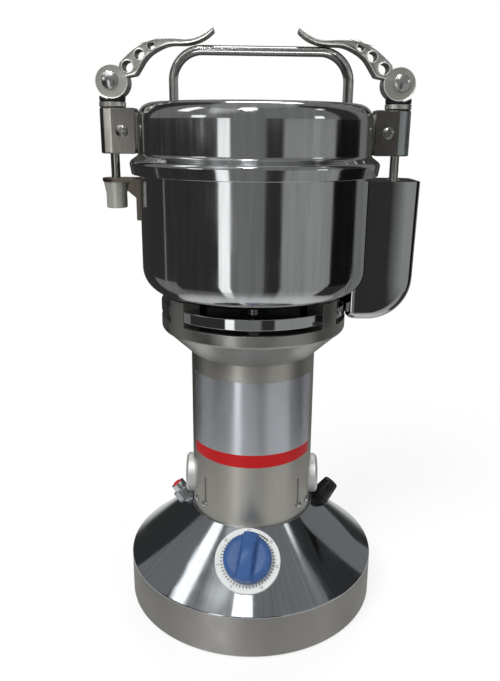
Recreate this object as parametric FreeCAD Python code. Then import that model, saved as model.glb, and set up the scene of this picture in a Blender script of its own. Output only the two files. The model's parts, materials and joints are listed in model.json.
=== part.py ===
"""Countertop dry grinder: a polished bowl on a motor tube and a spun base.

Millimetres, +Z up. The origin is the centre of the base on the surface it
stands on; the front, with the timer, faces -Y. Each sub-part is one STEP file.
"""
import FreeCAD, Part
import math
import os

from FreeCAD import Placement, Rotation, Vector

# ---------------------------------------------------------------- base
foot_h = 3.0            # rubber foot under the cover
foot_r = 8.0
foot_in = 19.0          # feet inboard of the skirt
foot_count = 4
skirt_gap = 1.5         # skirt edge above the table
base_r = 85.0
base_wall = 2.0
skirt_h = 29.0
cone_h = 35.7
seat_step = 1.3         # top of the cone outside the tube
cover_t = 1.5
cover_gap = 0.3         # cover inside the skirt
boss_r = 5.0
boss_in = 2.0           # cover bosses clear of the skirt's wall
boss_h = 9.0
boss_screw = 7.0        # cover screws into their bosses
screw_r = 2.0           # shank of the small machine screws
screw_head_r = 3.6
screw_head_h = 2.0
inlet_r = 6.5           # cable inlet bush at the back
inlet_len = 5.0
inlet_bore = 3.5
inlet_wall = 1.4
inlet_z = 19.5

# ---------------------------------------------------------------- motor tube
tube_r = 40.7
tube_wall = 2.0
tube_len = 111.5
vent_w = 4.0
vent_len = 21.0
vent_low = 8.0          # lowest point of the vents above the cone
vent_angles = (48.0, 132.0, 156.0, 204.0, 228.0, 312.0)
brush_h = 19.1          # brush axis above the cone
cap_r = 13.5
cap_out = 4.6           # brush cap outside the tube
tube_screw_h = 7.5      # screw row above the cone
small_screw_r = 1.2
small_head_r = 2.2
tube_screw_angles = (52.0, 66.0, 294.0, 308.0)

# ---------------------------------------------------------------- neck
neck_in = 11.0          # neck inside the bowl wall
flare_h = 17.3
ring_h = 7.1            # plain ring above the flare
slot_h = 3.3            # slot under the bearing plate
plate_t = 6.8           # bearing plate
window_h = 5.3          # air gap between plate and bowl
neck_wall = 3.0
post_half = 7.0         # half of a post's angle, degrees
post_depth = 13.0       # posts in from the neck's outer face
post_angles = (51.5, 128.5, 231.5, 308.5)
stand_off_in = 8.5      # plate pillars inside the posts
stand_off_r = 5.0

# ---------------------------------------------------------------- bowl and lid
bowl_r = 70.5
bowl_wall = 1.5
bowl_floor = 3.0
bowl_corner = 16.0
bowl_h = 75.5
seal_h = 3.0
seal_w = 3.5
lid_proud = 0.5         # lid wall outside the bowl wall
lid_wall = 1.5
lid_overlap = 3.0       # bead below the bowl rim
bead_proud = 5.2        # bead outside the lid wall
bead_h = 11.5
lid_h = 41.0
lid_corner = 9.5
lid_gap = 0.4           # lid skirt around the bowl

# ---------------------------------------------------------------- lid handle
handle_in = 16.0        # outside of its legs in from the lid wall
handle_rise = 32.3
handle_bend = 20.0      # outer radius of its corners
strap_t = 5.4
strap_w = 19.0
handle_turn = 3.0       # turned about Z, degrees
handle_screw = 8.0      # screws into its legs
handle_off = 3.5        # middle of the handle right of the lid's centre

# ---------------------------------------------------------------- cam clamps
clamp_out = 15.0        # rod axis outside the lid wall
rod_r = 2.75
slide_gap = 0.3         # rod in its bores
block_r = 8.0
block_gap = 1.2         # block clear of the lid wall
block_h = 26.5
lug_w = 6.0
lug_h = 21.0
clamp_screw_in = 6.2    # screw axis inboard of the rod axis
clamp_screw_head = 3.75
collar_r = 8.0
collar_h = 4.0
saddle_r = 7.8
saddle_sink = 1.6       # saddle spigot in the collar
saddle_rise = 3.4
saddle_floor = 2.3      # saddle thickness under the cam
saddle_curve = 16.0     # radius of its hollow
cam_r = 9.5
cam_in = 1.2            # cam centre inboard of the pivot
cam_down = 0.93         # cam centre below the pivot
cam_gap = 0.3
lever_w = 15.0
fork_w = 6.4
rod_eye_r = 5.0
rod_eye_w = 5.6
pin_r = 2.0
pin_head_r = 5.0
pin_head_h = 2.0
lever_holes = ((-25.1, 18.9, 2.2), (-18.2, 13.9, 2.9), (-11.0, 7.4, 3.2))
lever_top = ((-6.5, 9.6), (-11.5, 14.2), (-19.5, 19.6), (-28.0, 22.3), (-42.0, 22.7), (-50.0, 23.1),
             (-56.0, 25.6), (-61.2, 29.2))
lever_under = ((-61.4, 27.6), (-56.0, 23.4), (-51.0, 21.3), (-44.0, 20.1), (-35.5, 19.8),
               (-29.0, 17.5), (-22.0, 12.7), (-18.0, 7.2), (-15.1, 3.0), (-9.0, 1.8), (-3.0, 0.0))
lever_range = 140.0     # opening of a lever, degrees

# ---------------------------------------------------------------- brackets
bracket_t = 2.2
bracket_low = 6.0       # top of the bracket below the bowl rim
bracket_leg = 25.4
bracket_half = 8.3
bracket_bend = 2.5      # inside radius between shelf and leg
web_hold = 5.3          # web welded down the socket's side
web_drop = 13.0
web_t = 2.0
socket_top_r = 7.7
socket_low_r = 6.4
socket_taper = 7.2      # length of its cone
socket_h = 16.1
socket_floor = 3.0
socket_gap = 0.2        # socket in its web
rod_end_gap = 3.5       # rod end above the socket floor

# ---------------------------------------------------------------- side handle
grip_out = 29.2         # outer face beyond the bowl wall, at the top
grip_depth = 39.0
grip_wall = 4.3
grip_panel = 1.5
grip_inset = 2.0        # panels behind the edge of the band
grip_top = 5.7          # top below the bowl rim
grip_draft = 0.9
grip_bend = 27.0        # radius of the lower corner
grip_foot = 15.7        # lower edge under the bowl's floor
grip_gap = 0.3

# ---------------------------------------------------------------- controls
dial_r = 21.0
dial_t = 1.6
dial_down = 21.3        # dial centre down the cone from its top
dial_turn = -2.1        # azimuth of the dial
knob_r = 15.5
knob_skirt = 8.0
knob_h = 15.0
grip_bar_w = 6.7        # finger bar at its top
grip_bar_foot = 14.0    # and at its foot
knob_tilt = -8.0
knob_gap = 0.4
timer_shaft = 3.0
timer_size = 30.0
timer_depth = 20.0
button_turn = -103.0
fuse_turn = 103.0
button_down = 8.6       # reset button down the cone
fuse_down = 10.6        # fuse down the cone
hex_r = 7.2
hex_h = 6.2
bush_r = 5.0
bush_h = 11.2
button_r = 3.4
button_out = 1.4
button_guide = 6.0      # length of the button inside its bush
fuse_flange_r = 7.6
fuse_flange_h = 2.0
fuse_cap_r = 7.1        # fuse cap at its foot
fuse_cap_top = 5.5      # and at its end
fuse_cap_h = 13.0
fuse_cap_gap = 0.3
fuse_body_r = 5.8
socket_depth = 24.0     # reset and fuse bodies behind the cone
reset_case_r = 8.0

# ---------------------------------------------------------------- motor
shaft_r = 4.0
shaft_gap = 0.05
bearing_r = 11.0
bearing_t = 7.0
bracket_plate = 4.0
commutator_r = 10.5
commutator_len = 14.0
armature_len = 42.0
armature_up = 44.0      # armature above the cone
air_gap = 0.6
stator_yoke = 8.5
stator_gap = 0.2
coil_gap = 0.3          # coils clear of yoke and pole shoes
coil_t = 8.3
shoe_t = 3.0            # pole shoes
pole_half = 42.0
pole_neck = 14.0        # necks narrower than their shoes, degrees each side
coil_half = 58.0
coil_proud = 6.0
fan_gap = 4.7           # fan inside the tube
fan_clear = 2.0         # fan above the coils
fan_hub_r = 9.0
fan_back = 1.6
fan_h = 8.0
fan_blades = 9
brush_size = 6.0
holder_size = 9.0

# ---------------------------------------------------------------- cutters
hub_r = 7.0
hub_gap = 0.6
blade_gap = 8.0         # lowest blade clear of the bowl wall
blade_w = 15.0
blade_t = 2.0
blade_step = 9.0
blade_base = 16.0        # lowest blade above the bowl floor
blade_angles = (20.0, 80.0, 140.0)
blade_bends = (-14.0, 0.0, 18.0)
blade_flat = 34.0       # straight middle of a blade
nut_r = 7.5
nut_h = 7.0
seal_ring_r = 11.0
seal_ring_h = 3.5

# ---------------------------------------------------------------- what follows from them
lid_r = bowl_r + lid_proud
bead_r = lid_r + bead_proud
flare_r = bowl_r - neck_in
post_in = flare_r - post_depth
stand_off_circle = post_in - stand_off_in
z_skirt = skirt_gap + skirt_h
z_seat = z_skirt + cone_h
z_tube = z_seat + tube_len
z_ring = z_tube + flare_h
z_slot = z_ring + ring_h
z_plate = z_slot + slot_h
z_plate_top = z_plate + plate_t
z_bowl = z_plate_top + window_h
z_rim = z_bowl + bowl_h
z_bead = z_rim - lid_overlap
z_lid_wall = z_bead + bead_h
z_lid = z_bead + lid_h
z_block = z_lid_wall
z_collar = z_block + block_h
z_saddle = z_collar + collar_h
z_hollow = z_saddle - saddle_sink + saddle_floor
z_pivot = z_hollow + cam_gap + cam_r + cam_down
z_bracket = z_rim - bracket_low
z_grip = z_rim - grip_top
clamp_x = lid_r + clamp_out
seat_r = tube_r + seat_step
slope = math.atan2(cone_h, base_r - seat_r)
foot_circle = base_r - foot_in
boss_circle = base_r - base_wall - boss_r - boss_in
armature_r = tube_r - tube_wall - stator_gap - stator_yoke - 2.0 * coil_gap - coil_t - shoe_t - air_gap
fan_r = tube_r - tube_wall - fan_gap
blade_len = 2.0 * (bowl_r - bowl_wall - blade_gap)
handle_span = 2.0 * (lid_r - handle_in)

Z = Vector(0, 0, 1)
ORIGIN = Vector(0, 0, 0)


# ---------------------------------------------------------------- drawing helpers
def outline(points, to_vector):
    """Face from (u, v) corners; (u, v, mu, mv) ends an arc through (mu, mv)."""
    edges = []
    last = points[-1][:2]
    for step in points:
        end = step[:2]
        if len(step) == 4:
            middle = to_vector(*step[2:])
            edges.append(Part.Arc(to_vector(*last), middle, to_vector(*end)).toShape())
        else:
            edges.append(Part.makeLine(to_vector(*last), to_vector(*end)))
        last = end
    return Part.Face(Part.Wire(edges))


def turned(points, start=0.0, angle=360.0):
    """Solid of revolution about Z from (radius, height) points."""
    face = outline(points, lambda r, z: Vector(r, 0, z))
    solid = face.revolve(ORIGIN, Z, angle)
    solid.rotate(ORIGIN, Z, start)
    return solid


def side_plate(points, y_low, y_high):
    """Outline in X and Z, made solid between two Y values."""
    face = outline(points, lambda x, z: Vector(x, y_low, z))
    return face.extrude(Vector(0, y_high - y_low, 0))


def disc(radius, low, high, x=0.0, y=0.0):
    return Part.makeCylinder(radius, high - low, Vector(x, y, low), Z)


def ring(outer, inner, low, high, x=0.0, y=0.0):
    return disc(outer, low, high, x, y).cut(disc(inner, low, high, x, y))


def dome(radius, low, rise):
    """Last step of a profile: a spherical cap up to the axis."""
    sphere = (radius * radius + rise * rise) / (2.0 * rise)
    half = math.asin(min(1.0, radius / sphere)) / 2.0
    centre = low + rise - sphere
    return 0, low + rise, sphere * math.sin(half), centre + sphere * math.cos(half)


def sector(outer, inner, low, high, middle, half):
    """Piece of a ring; middle is an azimuth measured from the front, -Y."""
    points = [(outer, low), (outer, high), (inner, high), (inner, low)]
    return turned(points, start=middle - half - 90.0, angle=2.0 * half)


def cross_pin(radius, y_low, y_high, x, z):
    return Part.makeCylinder(radius, y_high - y_low, Vector(x, y_low, z), Vector(0, 1, 0))


def block(x_low, x_high, y_low, y_high, z_low, z_high):
    corner = Vector(x_low, y_low, z_low)
    return Part.makeBox(x_high - x_low, y_high - y_low, z_high - z_low, corner)


def moved(shape, place):
    copy = shape.copy()
    copy.Placement = place.multiply(copy.Placement)
    return copy


def around(azimuth):
    """Turn a piece modelled at the front, on -Y, to an azimuth."""
    return Placement(ORIGIN, Rotation(Z, azimuth))


def mirrored(shape):
    return shape.mirror(ORIGIN, Vector(1, 0, 0))


def group(shapes):
    return Part.makeCompound(shapes)


def fused(shapes):
    first, rest = shapes[0], shapes[1:]
    return first.fuse(rest).removeSplitter() if rest else first


def softened(shape, radius, picks):
    """Fillet the edges that picks says yes to."""
    edges = [edge for edge in shape.Edges if picks(edge)]
    return shape.makeFillet(radius, edges) if edges else shape


def on_cone(azimuth, down):
    """Place with +Z square to the cone, +Y up its slope and its origin on it."""
    angle = math.radians(azimuth)
    outward = Vector(math.sin(angle), -math.cos(angle), 0)
    radius = seat_r + down * math.cos(slope)
    height = z_seat - down * math.sin(slope)
    normal = outward * math.sin(slope) + Z * math.cos(slope)
    uphill = outward * -math.cos(slope) + Z * math.sin(slope)
    return Placement(outward * radius + Z * height,
                     Rotation(uphill.cross(normal), uphill, normal, "ZYX"))


dial_place = on_cone(dial_turn, dial_down)
button_place = on_cone(button_turn, button_down)
fuse_place = on_cone(fuse_turn, fuse_down)


# ---------------------------------------------------------------- base
def cone_filled():
    """Everything inside the base's outer skin, used to seat pieces on it."""
    return turned([(0, 0), (base_r, 0), (base_r, z_skirt), (seat_r, z_seat), (0, z_seat)])


def base_housing():
    inner = base_r - base_wall
    under_seat = z_seat - base_wall
    bore = tube_r - tube_wall - 6.0
    knee = z_skirt - base_wall * math.tan((math.pi / 2.0 - slope) / 2.0)
    top_r = inner - (under_seat - knee) / math.tan(slope)
    shell = turned([(base_r, skirt_gap), (base_r, z_skirt), (seat_r, z_seat), (bore, z_seat),
                    (bore, under_seat), (top_r, under_seat), (inner, knee), (inner, skirt_gap)])
    for place, radius in ((dial_place, timer_shaft + 1.0), (button_place, bush_r + slide_gap),
                          (fuse_place, fuse_body_r + slide_gap)):
        shell = shell.cut(moved(disc(radius, -12.0, 6.0), place))
    shell = shell.cut(along_y(inlet_bore + inlet_wall + 0.1, base_r - 3.0 * base_wall, base_r + 1.0, inlet_z))
    bosses = []
    for index in range(foot_count):
        low, high = foot_h + cover_t, foot_h + cover_t + boss_h
        boss = disc(boss_r, low, high, 0, -boss_circle)
        web = block(-1.2, 1.2, -inner - 0.2, -boss_circle, low, high)
        hole = disc(screw_r, foot_h, high + 0.5, 0, -boss_circle)
        bosses.append(moved(boss.fuse(web).cut(hole), around(foot_azimuth(index) + 45.0)))
    return fused([shell] + bosses)


def foot_azimuth(index):
    return 45.0 + index * 360.0 / foot_count


def base_cover():
    cover = disc(base_r - base_wall - cover_gap, foot_h, foot_h + cover_t)
    for index in range(foot_count):
        cover = cover.cut(moved(disc(3.0, 0, z_skirt, 0, -foot_circle), around(foot_azimuth(index))))
        cover = cover.cut(moved(disc(screw_r + 0.2, 0, z_skirt, 0, -boss_circle),
                                around(foot_azimuth(index) + 45.0)))
    for index in range(6):
        slot = block(-2.0, 2.0, -50.0, -30.0, 0, z_skirt)
        cover = cover.cut(moved(slot, around(30.0 + index * 60.0)))
    return cover


def base_feet():
    feet = []
    for index in range(foot_count):
        pad = turned([(0, 0), (foot_r - 1.0, 0), (foot_r, 1.0), (foot_r, foot_h), (2.8, foot_h),
                      (2.8, foot_h + cover_t), (4.2, foot_h + cover_t), (2.6, foot_h + cover_t + 2.5),
                      (0, foot_h + cover_t + 2.5)])
        pad.translate(Vector(0, -foot_circle, 0))
        feet.append(moved(pad, around(foot_azimuth(index))))
    return group(feet)


def base_cover_screws():
    screws = []
    for index in range(foot_count):
        screw = disc(screw_r - 0.05, foot_h, foot_h + cover_t + boss_screw, 0, -boss_circle)
        head = disc(screw_head_r, foot_h - 1.6, foot_h, 0, -boss_circle)
        screws.append(moved(screw.fuse(head), around(foot_azimuth(index) + 45.0)))
    return group(screws)


def along_y(radius, y_low, y_high, z):
    return Part.makeCylinder(radius, y_high - y_low, Vector(0, y_low, z), Vector(0, 1, 0))


def cable_inlet():
    """Bush in the back of the skirt, its flange outside."""
    inside = base_r - base_wall - 4.0
    outside = base_r + inlet_len
    flange = along_y(inlet_r, base_r - 3.0, outside, inlet_z).cut(cone_filled())
    barrel = along_y(inlet_bore + inlet_wall, inside, outside, inlet_z)
    return flange.fuse(barrel).removeSplitter().cut(along_y(inlet_bore, inside, outside, inlet_z))


# ---------------------------------------------------------------- motor housing
def vent_cutter(azimuth):
    half = vent_w / 2.0
    low = z_seat + vent_low
    slot = fused([block(-half, half, -tube_r - 2.0, -tube_r + 6.0, low + half, low + vent_len - half),
                  cross_pin(half, -tube_r - 2.0, -tube_r + 6.0, 0, low + half),
                  cross_pin(half, -tube_r - 2.0, -tube_r + 6.0, 0, low + vent_len - half)])
    return moved(slot, around(azimuth))


def motor_housing():
    tube = ring(tube_r, tube_r - tube_wall, z_seat, z_tube)
    for azimuth in vent_angles:
        tube = tube.cut(vent_cutter(azimuth))
    for azimuth in (90.0, 270.0):
        opening = cross_pin(holder_size, -tube_r - 2.0, -tube_r / 2.0, 0, z_brush())
        tube = tube.cut(moved(opening, around(azimuth)))
    for azimuth in tube_screw_places():
        hole = cross_pin(small_screw_r + 0.1, -tube_r - 2.0, -tube_r / 2.0, 0, z_seat + tube_screw_h)
        tube = tube.cut(moved(hole, around(azimuth)))
    return tube


def z_brush():
    return z_seat + brush_h


def tube_screw_places():
    return tube_screw_angles + tuple(180.0 - angle for angle in tube_screw_angles)


def housing_screws():
    screws = []
    for azimuth in tube_screw_places():
        head = turned([(0, 0), (small_head_r, 0), (small_head_r, 0.5), dome(small_head_r, 0.5, 0.9)])
        shank = disc(small_screw_r, -tube_wall - 1.0, 0.0)
        screw = moved(head.fuse(shank), Placement(Vector(0, -tube_r, z_seat + tube_screw_h),
                                                  Rotation(Vector(1, 0, 0), 90.0)))
        screws.append(moved(screw, around(azimuth)))
    return group(screws)


def brush_cap(azimuth):
    """Round cover on the tube with a coin slot, its back shaped to the tube."""
    profile = [(0, -4.0), (cap_r - 0.6, -4.0), (cap_r, cap_out - 1.6), (cap_r - 1.6, cap_out),
               (cap_r - 4.0, cap_out), (cap_r - 5.0, cap_out - 0.8), (0, cap_out - 0.8)]
    cap = turned(profile)
    slot = block(-5.0, 5.0, -0.9, 0.9, cap_out - 2.4, cap_out + 1.0)
    spigot = disc(holder_size - 0.3, -tube_wall - 3.0, 0.0)
    front = Placement(Vector(0, -tube_r, z_brush()), Rotation(Vector(1, 0, 0), 90.0))
    cap = moved(cap.cut(slot), front).cut(disc(tube_r, z_seat, z_tube))
    cap = cap.fuse(moved(spigot, front)).removeSplitter()
    return moved(cap, around(azimuth))


def brush_gear():
    """Holders, carbon brushes and springs behind both caps."""
    inner = commutator_r + 1.5
    outer = tube_r - tube_wall - 3.4
    size = brush_size / 2.0
    case = holder_size / 2.0
    z = z_brush()
    holders, brushes, springs = [], [], []
    for azimuth in (90.0, 270.0):
        holder = block(-case, case, -outer, -inner, z - case, z + case)
        hollow = block(-size - 0.1, size + 0.1, -outer, -inner, z - size - 0.1, z + size + 0.1)
        holders.append(moved(holder.cut(hollow), around(azimuth)))
        brush = block(-size, size, -inner - 11.0, -commutator_r - 0.3, z - size, z + size)
        hollow = Part.makeCylinder(commutator_r + 0.3, brush_size, Vector(0, 0, z - size), Z)
        brushes.append(moved(brush.cut(hollow), around(azimuth)))
        spring = cross_pin(size - 0.3, -outer - 0.3, -inner - 11.0, 0, z)
        spring = spring.cut(cross_pin(size - 1.2, -outer - 0.3, -inner - 11.0, 0, z))
        springs.append(moved(spring, around(azimuth)))
    return group(holders), group(brushes), group(springs)


# ---------------------------------------------------------------- neck
def neck_casting():
    """Flared casting with four posts that carry the bowl."""
    outer_in = flare_r - neck_wall
    floor_top = z_ring + neck_wall
    flare = turned([(tube_r, z_tube), (flare_r - 2.0, z_ring - 1.6),
                    (flare_r, z_ring + 1.2, flare_r - 0.5, z_ring - 0.5),
                    (flare_r, z_slot), (outer_in, z_slot), (outer_in, floor_top),
                    (bearing_r + 4.0, floor_top), (bearing_r + 4.0, z_ring),
                    (outer_in - 3.0, z_ring), (tube_r - tube_wall, z_tube + 2.0),
                    (tube_r - tube_wall, z_tube)])
    parts = [flare]
    for azimuth in post_angles:
        parts.append(sector(flare_r, post_in, z_slot - 2.0, z_bowl, azimuth, post_half))
        parts.append(sector(outer_in + 0.5, post_in, floor_top - 0.5, z_slot, azimuth, post_half))
    for azimuth in (0.0, 90.0, 180.0, 270.0):
        stand_off = disc(stand_off_r, floor_top - 0.5, z_plate, 0, -stand_off_circle)
        parts.append(moved(stand_off, around(azimuth)))
    casting = fused(parts)
    for azimuth in (0.0, 90.0, 180.0, 270.0):
        hole = disc(screw_r, z_plate - 9.0, z_plate + 1.0, 0, -stand_off_circle)
        casting = casting.cut(moved(hole, around(azimuth)))
    for azimuth in post_angles:
        hole = disc(screw_r, z_bowl - 12.0, z_bowl + 1.0, 0, -(post_in + 4.0))
        casting = casting.cut(moved(hole, around(azimuth)))
    return casting


def bearing_plate():
    plate = disc(flare_r, z_plate, z_plate_top)
    plate = softened(plate, 0.6, lambda edge: edge.Length > 6.0 * flare_r)
    plate = plate.cut(disc(bearing_r, z_plate - 1.0, z_plate_top - 1.0))
    plate = plate.cut(disc(bearing_r - 2.5, z_plate, z_plate_top + 1.0))
    for azimuth in post_angles:
        plate = plate.cut(sector(flare_r + 2.0, post_in - 0.3, z_plate - 1.0, z_plate_top + 1.0,
                                 azimuth, post_half + 0.3))
    for azimuth in (0.0, 90.0, 180.0, 270.0):
        hole = disc(screw_r + 0.2, z_plate - 1.0, z_plate_top + 1.0, 0, -stand_off_circle)
        plate = plate.cut(moved(hole, around(azimuth)))
    return plate


def neck_screws():
    screws = []
    for azimuth in (0.0, 90.0, 180.0, 270.0):
        shank = disc(screw_r - 0.05, z_plate - 8.0, z_plate_top, 0, -stand_off_circle)
        head = disc(screw_head_r, z_plate_top, z_plate_top + screw_head_h, 0, -stand_off_circle)
        screws.append(moved(shank.fuse(head), around(azimuth)))
    return group(screws)


# ---------------------------------------------------------------- bowl
def corner_point(centre_r, centre_z, radius, degrees):
    angle = math.radians(degrees)
    return centre_r + radius * math.cos(angle), centre_z + radius * math.sin(angle)


def bowl():
    flat = bowl_r - bowl_corner
    inner_corner = bowl_corner - bowl_wall
    middle_out = corner_point(flat, z_bowl + bowl_corner, bowl_corner, -45.0)
    middle_in = corner_point(flat, z_bowl + bowl_floor + inner_corner, inner_corner, -45.0)
    bore = hub_r + hub_gap
    shell = turned([(bore, z_bowl), (flat, z_bowl), (bowl_r, z_bowl + bowl_corner) + middle_out,
                    (bowl_r, z_rim), (bowl_r - bowl_wall, z_rim),
                    (bowl_r - bowl_wall, z_bowl + bowl_floor + inner_corner),
                    (flat, z_bowl + bowl_floor) + middle_in, (bore, z_bowl + bowl_floor)])
    for azimuth in post_angles:
        hole = disc(screw_r + 0.2, z_bowl - 1.0, z_bowl + bowl_floor + 1.0, 0, -(post_in + 4.0))
        shell = shell.cut(moved(hole, around(azimuth)))
    return shell


def bowl_screws():
    screws = []
    top = z_bowl + bowl_floor
    for azimuth in post_angles:
        head = turned([(0, top), (screw_head_r, top), (screw_head_r - 0.8, top + screw_head_h),
                       (0, top + screw_head_h)])
        shank = disc(screw_r - 0.05, z_bowl - 11.0, top)
        screw = head.fuse(shank)
        screw.translate(Vector(0, -(post_in + 4.0), 0))
        screws.append(moved(screw, around(azimuth)))
    return group(screws)


def bracket_left():
    """Angle bracket on the bowl wall, drilled for the clamp socket."""
    low = z_bracket - bracket_leg
    under = z_bracket - bracket_t
    shelf = fused([disc(bracket_half, under, z_bracket, clamp_x, 0),
                   block(bowl_r - 4.0, clamp_x, -bracket_half, bracket_half, under, z_bracket)])
    leg = block(bowl_r - 4.0, bowl_r + bracket_t, -bracket_half, bracket_half, low, z_bracket)
    web = side_plate([(bowl_r, under - web_drop), (clamp_x - socket_low_r, under - web_hold),
                      (clamp_x - socket_low_r, under), (bowl_r, under)], -web_t / 2.0, web_t / 2.0)
    skin = bowl_r + bracket_t
    bend = side_plate([(bowl_r, under), (bowl_r, under - bracket_bend), (skin, under - bracket_bend),
                       (skin + bracket_bend, under)
                       + corner_point(skin + bracket_bend, under - bracket_bend, bracket_bend, 135.0)],
                      -bracket_half, bracket_half)
    room = socket_gap / math.cos(math.atan2(socket_top_r - socket_low_r, socket_taper))
    socket_room = turned([(0, under - socket_h), (socket_low_r + room, under - socket_h),
                          (socket_low_r + room, under - socket_taper), (socket_top_r + room, under),
                          (0, under)])
    socket_room.translate(Vector(clamp_x, 0, 0))
    bracket = fused([shelf, leg, web, bend]).cut(disc(bowl_r, low - 1.0, z_bracket + 1.0))
    bracket = bracket.cut(disc(rod_r + slide_gap + 1.0, under, z_bracket + 1.0, clamp_x, 0))
    return mirrored(bracket.cut(socket_room))


def socket(x, top, plate):
    """Tapered socket for the foot of a tie rod, its lip up through a plate."""
    under = top - plate
    low = under - socket_h
    profile = [(0, low), (socket_low_r - 0.5, low), (socket_low_r, low + 0.5),
               (socket_low_r, under - socket_taper), (socket_top_r, under),
               (rod_r + slide_gap + 0.9, under), (rod_r + slide_gap + 0.9, top),
               (rod_r + slide_gap, top), (rod_r + slide_gap, low + socket_floor),
               (0, low + socket_floor)]
    shape = turned(profile)
    shape.translate(Vector(x, 0, 0))
    return shape


# ---------------------------------------------------------------- side handle
def grip_outline(inset):
    """Band of the side handle in X and Z, moved in by inset."""
    top_x = bowl_r + grip_out - inset
    low_z = z_bowl - grip_foot + inset
    bend = grip_bend - inset
    low_x = top_x - grip_draft
    centre_x = low_x - bend
    centre_z = low_z + bend
    middle = corner_point(centre_x, centre_z, bend, -45.0)
    return [(top_x, z_grip - inset), (flare_r - 2.0, z_grip - inset), (flare_r - 2.0, low_z),
            (centre_x, low_z), (low_x, centre_z) + middle]


def bowl_room():
    """The bowl and the neck with the running gap that the handle keeps."""
    room = turned([(0, z_bowl - grip_gap), (bowl_r - bowl_corner, z_bowl - grip_gap),
                   (bowl_r + grip_gap, z_bowl + bowl_corner)
                   + corner_point(bowl_r - bowl_corner, z_bowl + bowl_corner, bowl_corner + grip_gap, -45.0),
                   (bowl_r + grip_gap, z_rim + 1.0), (0, z_rim + 1.0)])
    return room.fuse(disc(flare_r + grip_gap, z_tube, z_bowl + 1.0))


def side_handle():
    back = grip_depth / 2.0
    band = side_plate(grip_outline(0.0), -back, back)
    inner = side_plate(grip_outline(grip_wall), -back - 1.0, back + 1.0)
    band = softened(band.cut(inner), 1.4, is_grip_edge)
    fill = side_plate(grip_outline(grip_wall), -back + grip_inset, back - grip_inset)
    hollow = side_plate(grip_outline(grip_wall), -back + grip_inset + grip_panel,
                        back - grip_inset - grip_panel)
    handle = fused([band, fill.cut(hollow)]).cut(bowl_room())
    return handle.cut(disc(rod_r + slide_gap + 1.0, z_grip - 3.0 * grip_wall, z_grip + 1.0, clamp_x, 0))


def is_grip_edge(edge):
    """Outer edges of the band, clear of its ends on the bowl."""
    centre = edge.CenterOfMass
    outside = centre.x > bowl_r + grip_out - grip_bend
    flat = abs(abs(centre.y) - grip_depth / 2.0) < 0.01
    on_skin = centre.x > bowl_r + grip_out - grip_wall or centre.z < z_bowl - grip_foot + grip_bend / 2.0
    return outside and flat and on_skin


# ---------------------------------------------------------------- lid
def lid_shell():
    bead_mid = z_bead + 0.45 * bead_h
    inner = lid_r - lid_wall
    seat = z_rim + seal_h
    shoulder = z_lid - lid_corner
    flat = lid_r - lid_corner
    inner_corner = lid_corner - lid_wall
    skirt_in = bowl_r + lid_gap
    shell = turned([(skirt_in, z_bead), (skirt_in + 1.0, z_bead),
                    (bead_r, bead_mid - 1.5, bead_r - 1.4, z_bead + 1.1), (bead_r, bead_mid + 2.0),
                    (lid_r, z_lid_wall, bead_r - 1.6, bead_mid + 4.6), (lid_r, shoulder),
                    (flat, z_lid) + corner_point(flat, shoulder, lid_corner, 45.0),
                    (0, z_lid), (0, z_lid - lid_wall), (flat, z_lid - lid_wall),
                    (inner, shoulder) + corner_point(flat, shoulder, inner_corner, 45.0),
                    (inner, seat), (skirt_in, seat)])
    for side in (-1.0, 1.0):
        shell = shell.cut(moved(disc(screw_r + 0.2, z_lid - 5.0, z_lid + 1.0, side * handle_leg(), 0),
                                handle_place()))
    return shell


def lid_seal():
    outer = bowl_r + lid_gap - 0.2
    return ring(outer, outer - seal_w, z_rim, z_rim + seal_h)


def handle_leg():
    return (handle_span - strap_t) / 2.0


def handle_place():
    return Placement(Vector(handle_off, 0, 0), Rotation(Z, handle_turn))


def lid_handle():
    """Flat oval bar bent twice, its feet on the lid."""
    bend = handle_bend - strap_t / 2.0
    leg = handle_leg()
    top = z_lid + handle_rise - strap_t / 2.0
    section = Part.Ellipse(ORIGIN, strap_w / 2.0, strap_t / 2.0).toShape()
    section = Part.Face(Part.Wire(section))
    section.rotate(ORIGIN, Z, 90.0)
    section.translate(Vector(leg, 0, z_lid))
    upright = section.extrude(Vector(0, 0, top - bend - z_lid))
    section.translate(Vector(0, 0, top - bend - z_lid))
    corner = section.revolve(Vector(leg - bend, 0, top - bend), Vector(0, 1, 0), -90.0)
    section.rotate(Vector(leg - bend, 0, top - bend), Vector(0, 1, 0), -90.0)
    half_bar = section.extrude(Vector(-(leg - bend), 0, 0))
    half = fused([upright, corner, half_bar])
    handle = fused([half, mirrored(half)])
    for side in (-1.0, 1.0):
        hole = disc(screw_r, z_lid - 1.0, z_lid + handle_screw + 1.0, side * leg, 0)
        handle = handle.cut(hole)
    return moved(handle, handle_place())


def lid_handle_screws():
    screws = []
    under = z_lid - lid_wall
    for side in (-1.0, 1.0):
        shank = disc(screw_r - 0.05, under, z_lid + handle_screw, side * handle_leg(), 0)
        head = disc(screw_head_r, under - screw_head_h, under, side * handle_leg(), 0)
        screws.append(moved(shank.fuse(head), handle_place()))
    return group(screws)


# ---------------------------------------------------------------- clamps, right side
def lug_nose():
    return clamp_x - rod_r - slide_gap - 0.6


def clamp_screw_x():
    return clamp_x - clamp_screw_in


def clamp_mid():
    return z_block + block_h / 2.0


def lid_lug():
    """Ear on the lid wall that the clamp block hangs on."""
    half = lug_w / 2.0
    low, high = clamp_mid() - lug_h / 2.0, clamp_mid() + lug_h / 2.0
    ear = block(lid_r - 4.0, lug_nose(), -half, half, low, high)
    ear = ear.cut(disc(lid_r, low - 1.0, high + 1.0))
    return ear.cut(cross_pin(screw_r - 0.2, -half - 1.0, half + 1.0, clamp_screw_x(), clamp_mid()))


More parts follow.
